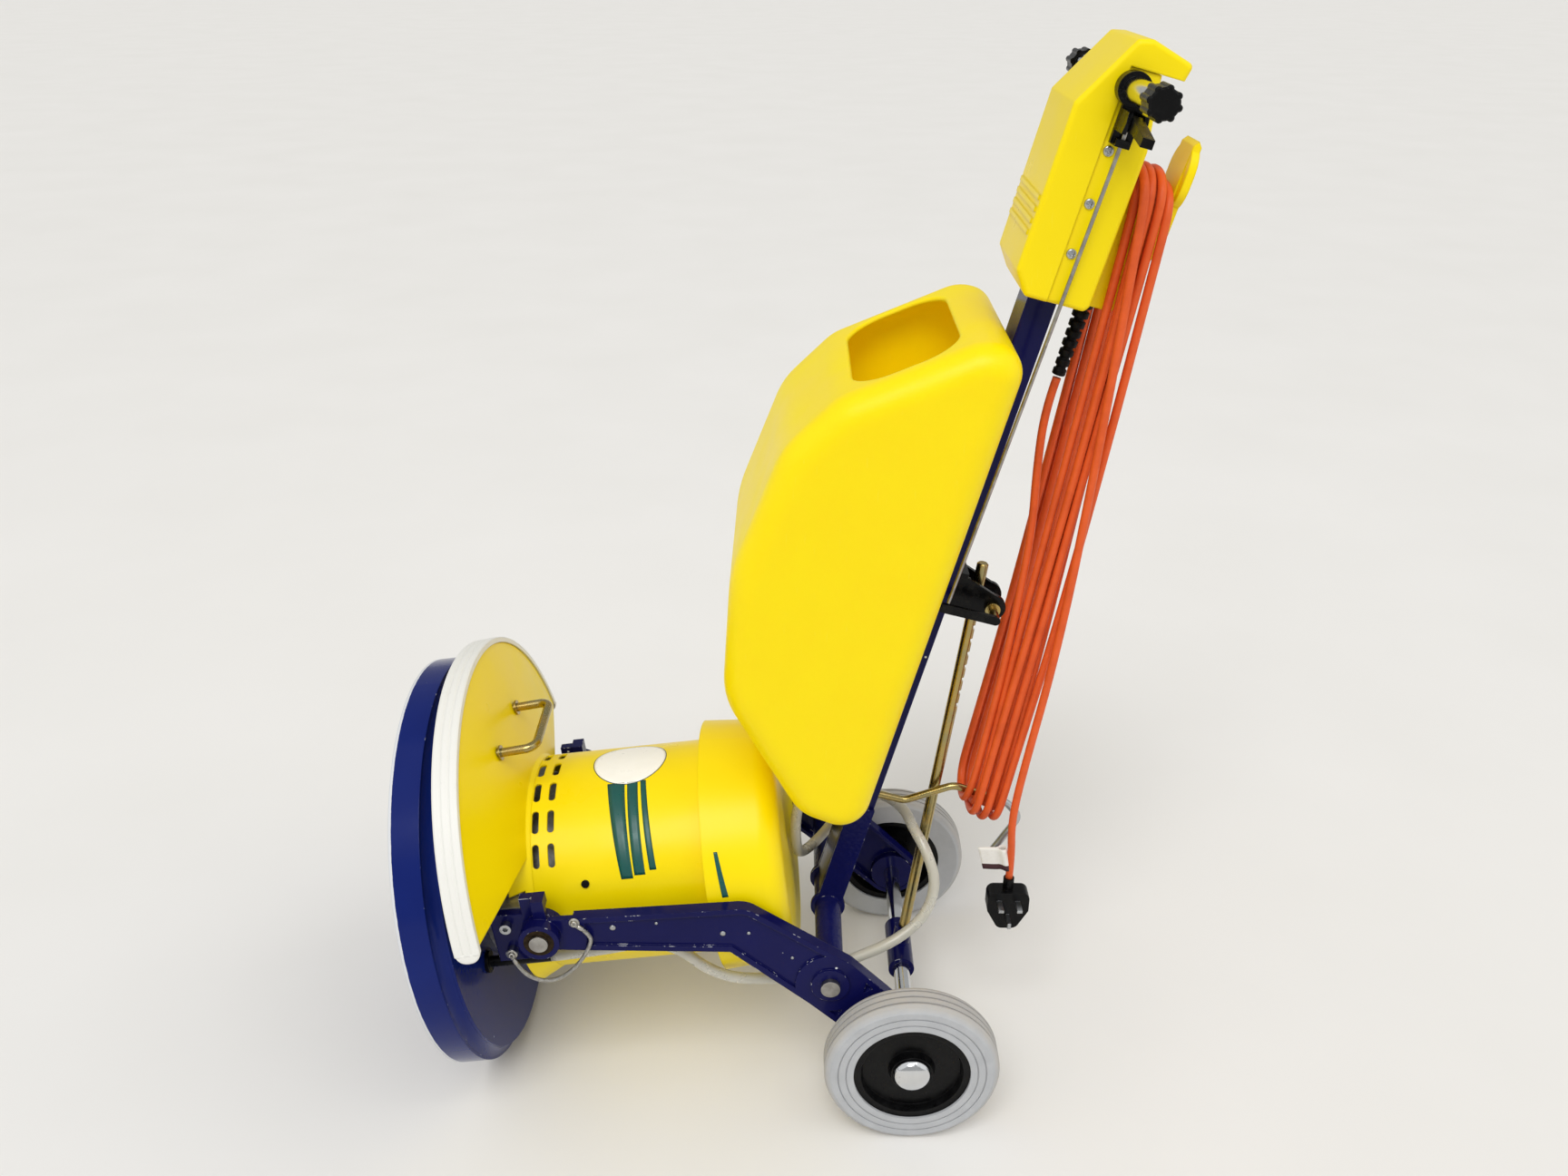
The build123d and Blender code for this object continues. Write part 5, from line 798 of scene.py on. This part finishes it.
frame_enamel = navy_enamel("stoved_enamel_navy", "#0B0C40", "#111350", 4, 0.15, 0.42)
deck_enamel = navy_enamel("stoved_enamel_worn_rim", "#0C1B5E", "#12246C", 5, 0.1, 0.36, worn_rim=True)
foot_enamel = navy_enamel("hammer_finish_enamel", "#0E1048", "#171B5C", 3.5, 2.2, 0.44)
print("enamels", frame_enamel.name, deck_enamel.name, foot_enamel.name)

# %% [markdown]
# ## Tyre rubber
# The tyres are pale grey rubber that doesn't mark floors, pressed in a turned mould. They look
# matt and dusty, with tan dirt rubbed into the tread, so the colour follows the distance from the
# axle. The mould's lathe marks are finer than a millimetre, and are drawn at 1.6 mm so that they show.

# %% Tyre rubber
TREAD_FROM, TREAD_FULL, LATHE_MARK = 93, 98.5, 1.6
tyre_rubber, add, shade, place = surface("non_marking_rubber", {"IOR": 1.5, "Specular IOR Level": 0.3})
bloom = add("TexNoise", {"Vector": place, "Scale": per_metre(22), "Detail": 6, "Roughness": 0.6})
grey = add("Mix", {BY: bloom, FROM: paint("#A6A8AB"), TO: paint("#BFC1C4")})
from_axle = add("VectorMath", {0: place, 1: axle}, operation="SUBTRACT")
in_plane = add("VectorMath", {0: from_axle, 1: (1, 0, 1)}, operation="MULTIPLY")
radius = add("VectorMath", {0: in_plane}, operation="LENGTH")
tread = add("MapRange", {"Value": radius, LOW: TREAD_FROM * MM, HIGH: TREAD_FULL * MM, NEW_HIGH: 0.6})
smear = add("Math", {0: tread, 1: bloom}, operation="MULTIPLY")
dirt = add("Mix", {BY: smear, FROM: grey, TO: paint("#B5A892")})
matt = add("MapRange", {"Value": bloom, LOW: 0.3, HIGH: 0.7, NEW_LOW: 0.62, NEW_HIGH: 0.85})
lathe_marks = add("Math", {0: radius, 1: per_metre(LATHE_MARK) * math.tau}, operation="MULTIPLY")
rings = add("Math", {0: lathe_marks}, operation="SINE")
edge = add("Bevel", {"Radius": 1.5 * MM})
bump = add("Bump", {"Height": rings, "Distance": 0.05 * MM, "Strength": 0.5, "Normal": edge})
shade({"Base Color": dirt, "Roughness": matt, "Normal": bump})
print("rubber", tyre_rubber.name)

# %% [markdown]
# ## Bumper PVC
# The bumper is white PVC, pushed through a die and bent round the hood. It looks smooth and a
# little soft, with grey scuffs on its crown and painted shade down in its grooves. The shade is
# painted where the open air nearby is scarce, which the occlusion node measures.

# %% Bumper PVC
bumper_pvc, add, shade, place = surface("extruded_white_pvc", {"IOR": 1.53})
rub = add("TexNoise", {"Vector": place, "Scale": per_metre(30), "Detail": 8, "Roughness": 0.65})
marks = add("MapRange", {"Value": rub, LOW: 0.6, HIGH: 0.78, NEW_HIGH: 0.35})
groove = add("AmbientOcclusion", {"Distance": 5 * MM}).outputs["AO"]
# painted shade: the grooves are darkened where the occlusion node finds little open air
painted_groove_shade = add("MapRange", {"Value": groove, LOW: 0.75, HIGH: 0.25, NEW_HIGH: 0.3})
scuffs_and_painted_shade = add("Math", {0: marks, 1: painted_groove_shade}, operation="MAXIMUM")
# the grey mix carries both the real scuffs and the painted groove shade
white = add("Mix", {BY: scuffs_and_painted_shade, FROM: paint("#E8E7E1"), TO: paint("#B5B1A6")})
sheen = add("MapRange", {"Value": rub, LOW: 0.3, HIGH: 0.7, NEW_LOW: 0.32, NEW_HIGH: 0.5})
edge = add("Bevel", {"Radius": 1.2 * MM})
bump = add("Bump", {"Height": rub, "Distance": 0.1 * MM, "Strength": 0.4, "Normal": edge})
shade({"Base Color": white, "Roughness": sheen, "Normal": bump})
print("bumper", bumper_pvc.name)

# %% [markdown]
# ## Blacks
# Hubs, knobs, plug and lever are black polypropylene, moulded smooth, and fan and drive hub are
# nylon with glass fibre. The strain relief is soft PVC, and clevis and clamp are steel with a black
# stoved enamel. To the eye they are deep black with a soft shine, a little dust on the flats and a
# paler line on edges that hands and cords rub.

# %% Black plastics and enamel


def black_finish(name, colour, dust, rough, grain_mm):
    material, add, shade, place = surface(name, {"IOR": 1.51, "Specular IOR Level": 0.14})
    film = add("TexNoise", {"Vector": place, "Scale": per_metre(12), "Detail": 6, "Roughness": 0.65})
    dusty = add("MapRange", {"Value": film, LOW: 0.5, HIGH: 0.8, NEW_HIGH: 0.3})
    edge, ridge = worn_edge(add, round_mm=0.9, samples=4, bare_at=0.85, most=0.3)
    rubbed = add("Math", {0: dusty, 1: ridge}, operation="MAXIMUM")
    tone = add("Mix", {BY: rubbed, FROM: paint(colour), TO: paint(dust)})
    dull = add("MapRange", {"Value": film, LOW: 0.3, HIGH: 0.75,
                            NEW_LOW: rough - 0.06, NEW_HIGH: rough + 0.16})
    grain = add("TexNoise", {"Vector": place, "Scale": per_metre(grain_mm), "Detail": 2})
    bump = add("Bump", {"Height": grain, "Distance": 0.06 * MM, "Strength": 0.5, "Normal": edge})
    shade({"Base Color": tone, "Roughness": dull, "Normal": bump})
    return material


black_polypropylene = black_finish("moulded_polypropylene_black", "#060607", "#2A2A2A", 0.28, 1.5)
black_nylon = black_finish("glass_filled_nylon_black", "#0A0A0B", "#33332F", 0.4, 0.9)
black_paint = black_finish("stoved_enamel_black", "#070709", "#3C3C38", 0.22, 3)
black_rubber = black_finish("soft_pvc_black", "#09090A", "#2C2C2E", 0.48, 1.2)
print("blacks", [m.name for m in (black_polypropylene, black_nylon, black_paint, black_rubber)])

# %% [markdown]
# ## Metals
# Most steel here is plated. Clear zinc is bluish grey and satin, chrome is bright, and yellow
# passivated zinc is gold with faint pink and green bands where its film grows thicker. A drawn
# rod carries fine streaks along its length, drawn coarser than they are so that they show.
# Metals keep the default IOR, and their colour is the reflection itself.

# %% Plated steel


def plated_steel(name, colour, other, rough, band_mm, streak):
    material, add, shade, place = surface(name, {"Metallic": 1.0})
    bands = add("TexNoise", {"Vector": place, "Scale": per_metre(band_mm), "Detail": 3})
    spread = add("MapRange", {"Value": bands, LOW: 0.35, HIGH: 0.65})
    tone = add("Mix", {BY: spread, FROM: paint(colour), TO: paint(other)})
    stains = add("TexNoise", {"Vector": place, "Scale": per_metre(7), "Detail": 6, "Roughness": 0.7})
    spots = add("MapRange", {"Value": stains, LOW: 0.62, HIGH: 0.74, NEW_HIGH: 0.55})
    aged = add("Mix", {BY: spots, FROM: tone, TO: paint("#6E675C")})
    drawn = add("Mapping", {"Vector": place, "Scale": (1, 1, 0.08), "Rotation": (0, HANDLE_LEAN, 0)})
    lines = add("TexNoise", {"Vector": drawn, "Scale": per_metre(1.4), "Detail": 3})
    rougher = add("Math", {0: spots, 1: 0.3, 2: rough}, operation="MULTIPLY_ADD")
    satin = add("Math", {0: lines, 1: 0.12, 2: rougher}, operation="MULTIPLY_ADD")
    edge = add("Bevel", {"Radius": 0.6 * MM})
    bump = add("Bump", {"Height": lines, "Distance": 0.05 * MM, "Strength": streak, "Normal": edge})
    shade({"Base Color": aged, "Roughness": satin, "Normal": bump})
    return material


clear_zinc = plated_steel("clear_zinc_plate", "#B9BDC1", "#A7A9AB", 0.24, 18, 0.4)
chrome = plated_steel("chrome_plate", "#D9DBDD", "#CFD1D4", 0.07, 30, 0.1)
gold_zinc = plated_steel("yellow_passivated_zinc", "#B39A5C", "#9F9468", 0.2, 16, 0.35)
ground_steel = plated_steel("ground_gear_steel", "#A8A6A2", "#8F8C88", 0.3, 10, 0.5)
cast_aluminium = plated_steel("sand_cast_aluminium", "#B4B5B5", "#9A9B9C", 0.45, 6, 0.9)
sintered_bronze = plated_steel("sintered_bronze", "#3F3325", "#261F18", 0.4, 5, 0.6)
tinned_braid = plated_steel("tinned_copper_braid", "#C3C1BC", "#A8A59E", 0.32, 4, 0.4)
print("metals", clear_zinc.name, chrome.name, gold_zinc.name, ground_steel.name)

# %% [markdown]
# ## Inside the motor
# Little of the motor shows, only glints through the vents, but it is finished too. The cores are
# stacks of thin steel sheets, so their sides carry fine rings along the motor's axis. The windings
# are enamelled copper wire laid round and round. Both patterns are drawn a few times coarser than
# the real sheets and wires.

# %% Core sheets and windings


def ribbed_round(name, rough, colour, gap_colour, pitch_mm, high_mm):
    material, add, shade, place = surface(name, {"Metallic": 1.0, "Roughness": rough})
    out = out_from_face(add, place)
    waves = add("Math", {0: out, 1: math.tau / (pitch_mm * MM)}, operation="MULTIPLY")
    wave = add("Math", {0: waves}, operation="SINE")
    gaps = add("MapRange", {"Value": wave, LOW: -0.9, HIGH: -0.3, NEW_LOW: 1, NEW_HIGH: 0})
    blotch = add("TexNoise", {"Vector": place, "Scale": per_metre(9), "Detail": 4})
    uneven = add("Math", {0: gaps, 1: blotch}, operation="MULTIPLY")
    tone = add("Mix", {BY: uneven, FROM: paint(colour), TO: paint(gap_colour)})
    bump = add("Bump", {"Height": wave, "Distance": high_mm * MM, "Strength": 0.8})
    shade({"Base Color": tone, "Normal": bump})
    return material


core_sheets = ribbed_round("laminated_core_steel", 0.42, "#8C8E92", "#4A4542", 2.4, 0.2)
copper_wire = ribbed_round("enamelled_copper_wire", 0.3, "#B4653A", "#5A2A18", 1.8, 0.5)
print("motor inside", core_sheets.name, copper_wire.name)

# %% [markdown]
# ## Orange PVC
# The cord's sheath is soft PVC, pulled over the twisted cores as it was made. It looks a little
# waxy, and a cord that is dragged over floors gets dull smears. The cores show as a slow swell
# under the sheath.

# %% Orange PVC
orange_pvc, add, shade, place = surface("soft_pvc_orange", {"IOR": 1.53, "Specular IOR Level": 0.25})
smears = add("TexNoise", {"Vector": place, "Scale": per_metre(26), "Detail": 5, "Roughness": 0.6})
soiled = add("MapRange", {"Value": smears, LOW: 0.42, HIGH: 0.75, NEW_HIGH: 0.55})
orange = add("Mix", {BY: soiled, FROM: paint("#E25E28"), TO: paint("#C24A20")})
waxy = add("MapRange", {"Value": smears, LOW: 0.3, HIGH: 0.7, NEW_LOW: 0.36, NEW_HIGH: 0.55})
swell = add("TexNoise", {"Vector": place, "Scale": per_metre(9), "Detail": 1})
bump = add("Bump", {"Height": swell, "Distance": 0.5 * MM, "Strength": 0.35})
shade({"Base Color": orange, "Roughness": waxy, "Normal": bump})
print("cord", orange_pvc.name)

# %% [markdown]
# ## Clear hose
# The hose is clear PVC, drawn through a die. With age and water it has gone milky: some light
# passes straight through, the rest scatters in the wall, and a smooth coat gives the outside a
# thin gleam.

# %% Clear hose


def clouded(name, sockets, colour, other, cloud_mm, detail, rough, rougher, ripple):
    """An even material whose colour, gloss and level all drift a little, in the same soft clouds."""
    material, add, shade, place = surface(name, sockets)
    clouds = add("TexNoise", {"Vector": place, "Scale": per_metre(cloud_mm), "Detail": detail})
    tone = add("Mix", {BY: clouds, FROM: paint(colour), TO: paint(other)})
    haze = add("MapRange", {"Value": clouds, LOW: 0.3, HIGH: 0.7, NEW_LOW: rough, NEW_HIGH: rougher})
    level = add("Bump", {"Height": clouds, "Distance": 0.1 * MM, "Strength": ripple})
    shade({"Base Color": tone, "Roughness": haze, "Normal": level})
    return material


milky = {"IOR": 1.54, "Transmission Weight": 0.45, "Coat Weight": 0.15, "Coat Roughness": 0.1}
hose_pvc = clouded("clear_pvc_gone_milky", milky, "#EFEDE4", "#E0DCCB", cloud_mm=24, detail=4,
                   rough=0.22, rougher=0.4, ripple=0.2)
print("hose", hose_pvc.name)

# %% [markdown]
# ## Vinyl and card
# The sticker and stripes are calendered gloss vinyl, cut with a blade and slightly yellowed. The
# paper tag is matt card with one darker printed end. All are thin, flat and even, so they are
# clouded like the hose, with a faint fade, an uneven gloss and a slight wrinkle.

# %% Vinyl and card


def thin_film(name, colour, aged, rough, spot_mm):
    return clouded(name, {"IOR": 1.49}, colour, aged, cloud_mm=spot_mm, detail=5,
                   rough=rough, rougher=rough + 0.15, ripple=0.25)


white_vinyl = thin_film("gloss_vinyl_white", "#FFFFFD", "#F8F7F2", 0.25, 11)
dark_vinyl = thin_film("gloss_vinyl_slate", "#3C4A55", "#2E3A44", 0.3, 8)
teal_vinyl = thin_film("gloss_vinyl_teal", "#0B5A55", "#084A47", 0.25, 9)
card_paper = thin_film("matt_card", "#F3F1EC", "#E4E0D8", 0.7, 4)
printed_card = thin_film("matt_card_maroon", "#3A1A20", "#4A262A", 0.6, 4)
print("films", white_vinyl.name, dark_vinyl.name, teal_vinyl.name, card_paper.name, printed_card.name)

# %% [markdown]
# ## Which finish goes where
# Every solid takes its material from the slot that the record gives it. A few of them share a
# slot but differ to the eye, such as the tank and the motor cover, so they are named one by one.
# The pieces we added are paired with their finishes in a list.

# %% Give each solid its finish
finish_of_slot = {
    "yellow_plastic": cover_plastic, "blue_enamel": frame_enamel, "black_enamel": black_paint,
    "white_pvc": bumper_pvc, "grey_rubber": tyre_rubber, "black_plastic": black_polypropylene,
    "zinc_steel": clear_zinc, "chrome_plate": chrome, "yellow_zinc": gold_zinc, "bronze": sintered_bronze,
    "orange_pvc": orange_pvc, "clear_pvc": hose_pvc, "cast_aluminium": cast_aluminium,
    "gear_steel": ground_steel, "copper_winding": copper_wire, "black_nylon": black_nylon}
finish_of_piece = {
    "tank": tank_plastic, "deck": deck_enamel, "handle_foot": foot_enamel, "strain_relief": black_rubber,
    "rotor_core": core_sheets, "stator_core": core_sheets, "wheel_axle": chrome, "pawl": black_paint,
    "release_rod": ground_steel, "pivot_pins": ground_steel, "handle_pivot_bolt": ground_steel}
for part in frame["record"]["subparts"]:
    solid = frame["nodes"][part["node"]]
    finish = finish_of_piece.get(part["node"], finish_of_slot[part["material_slot"]])
    solid.data.materials.clear()
    solid.data.materials.append(finish)
added = [(mains_cord, orange_pvc), (tank_hose, hose_pvc), (deck_hose, hose_pvc), (earth_strap, tinned_braid),
         (arm_terminal, tinned_braid), (head_terminal, tinned_braid), (tag, card_paper), (tag, printed_card),
         (round_sticker, white_vinyl), (sticker_edge, dark_vinyl),
         *[(stripe, teal_vinyl) for stripe in stripes],
         (axle_domes, chrome), (screw_heads, clear_zinc), (arm_rivets, clear_zinc),
         (ribbed_sleeve, black_rubber), (bumper_noses, bumper_pvc)]
for made, finish in added:
    made.data.materials.append(finish)

# %% [markdown]
# ## Two finishes on one solid
# The pawl is black, but the heads of its pin are yellow zinc. The plug is black with plated brass
# pins, the wire hook has a bright end, and the barrel's own screws are black. The solid stays as it
# is: its mesh gets a second material, and the faces whose middle lies in the right place take it.

# %% Pin heads and plug pins
PIN_SPOT, PIN_HEAD, PIN_FROM, PIN_TO = on_handle(64, 0, 438), 9, 20.1, 46.9
PLUG_PIN_LONG, BRIGHT_BEND = 17.6, 160
BARREL_SCREW_FROM, BARREL_SCREW_TO = 172, 186
plug_pins_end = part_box("plug")[0].y + PLUG_PIN_LONG * MM


def refinish(node, finish, chosen):
    """Give a second finish to the faces of a solid whose middle is chosen."""
    solid = frame["nodes"][node]
    solid.data.materials.append(finish)
    faces = [f for f in solid.data.polygons if chosen(solid.matrix_world @ f.center)]
    for face in faces:
        face.material_index = len(solid.data.materials) - 1
    return len(faces)


def on_pin_head(spot):
    from_pin = Vector((spot.x - PIN_SPOT.x, spot.z - PIN_SPOT.z)).length
    return PIN_FROM * MM < abs(spot.y) < PIN_TO * MM and from_pin < PIN_HEAD * MM


def on_barrel_screw(spot):
    from_face = spot - on_head(BARREL_DOWN, 0, 0)
    out = from_face.dot(motor_out)
    aside = (from_face - motor_out * out).length
    return BARREL_SCREW_FROM * MM < out < BARREL_SCREW_TO * MM and aside > (BARREL_HALF - 2) * MM


def on_hook_end(spot):
    return (spot - handle_foot_spot).dot(handle_back) > BRIGHT_BEND * MM


print("pin heads", refinish("pawl", gold_zinc, on_pin_head),
      "plug pins", refinish("plug", clear_zinc, lambda spot: spot.y < plug_pins_end),
      "hook end", refinish("cord_hook", clear_zinc, on_hook_end),
      "barrel screws", refinish("head_screws", black_paint, on_barrel_screw))

# %% [markdown]
# ## Floor
# A plain pale screed, trowelled smooth, runs out past the edge of the picture on all sides. It
# looks even and matt, with faint cloudy patches, and takes the machine's soft shadow.

# %% Floor
FLOOR_HALF = 40
ground = bmesh.new()
bmesh.ops.create_grid(ground, x_segments=8, y_segments=8, size=FLOOR_HALF)
floor = piece("floor", ground, None, smooth=False)
matt = {"IOR": 1.45, "Roughness": 0.75, "Specular IOR Level": 0.2}
screed, add, shade, place = surface("pale_screed", matt)
patches = add("TexNoise", {"Vector": place, "Scale": per_metre(400), "Detail": 4})
pale = add("Mix", {BY: patches, FROM: paint("#E9E7E3"), TO: paint("#EFEDEA")})
shade({"Base Color": pale})
floor.data.materials.append(screed)
print("floor", floor.name)

# %% [markdown]
# ## Room
# An even white room lights the machine from everywhere. It looks paler to the camera, and through
# the clear hose, than it is as a lamp, so that the background stays light while the colours and
# the blacks keep their level.

# %% Room
LAMP_LEVEL, SEEN_LEVEL = 0.5, 0.92
room = bpy.data.worlds.new("bright_workshop")
bpy.context.scene.world = room
room.use_nodes = True
sky = room.node_tree
sky.nodes.clear()
ray = add_node(sky, "LightPath", {}).outputs
seen = add_node(sky, "Math", {0: ray["Is Camera Ray"], 1: ray["Is Transmission Ray"]}, operation="MAXIMUM")
level = add_node(sky, "MapRange", {"Value": seen, NEW_LOW: LAMP_LEVEL, NEW_HIGH: SEEN_LEVEL})
glow = add_node(sky, "Background", {"Color": paint("#F8F8F6"), "Strength": level})
add_node(sky, "OutputWorld", {"Surface": glow})
print("room", room.name)

# %% [markdown]
# ## Lamps
# The light is what a bright workshop gives. One broad soft sun, high in front and a little to the
# left, draws one soft shadow. Two weaker and softer ones, right and left, lighten the sides that it
# leaves dark, and a long strip lamp high up adds a thin gleam on enamel and plastic.

# %% Lamps
MACHINE_MIDDLE = (0, 0, 0.4)
SOFT, SOFTEST = math.radians(32), math.radians(70)


def lamp(name, kind, spot, aim, **settings):
    """A lamp of a kind at a spot, turned towards another."""
    light = bpy.data.lights.new(name, kind)
    for setting, value in settings.items():
        setattr(light, setting, value)
    made = bpy.data.objects.new(name, light)
    made.location = spot
    made.rotation_euler = (Vector(aim) - Vector(spot)).to_track_quat("-Z", "Y").to_euler()
    bpy.context.scene.collection.objects.link(made)
    return made


lamps = [lamp("soft_sun", "SUN", (-0.5, -2.4, 3.6), MACHINE_MIDDLE, energy=1.26, angle=SOFT),
         lamp("right_fill", "SUN", (2.6, -0.6, 2.2), MACHINE_MIDDLE, energy=0.55, angle=SOFTEST),
         lamp("left_fill", "SUN", (-2.6, -0.9, 2.6), MACHINE_MIDDLE, energy=0.42, angle=SOFTEST),
         lamp("strip", "AREA", (0.2, -1.4, 3.2), (0, 0, 0.5), energy=11, shape="RECTANGLE",
              size=3.0, size_y=0.35)]
bpy.context.scene.view_settings.view_transform = "Standard"
print("lamps", [made.name for made in lamps])
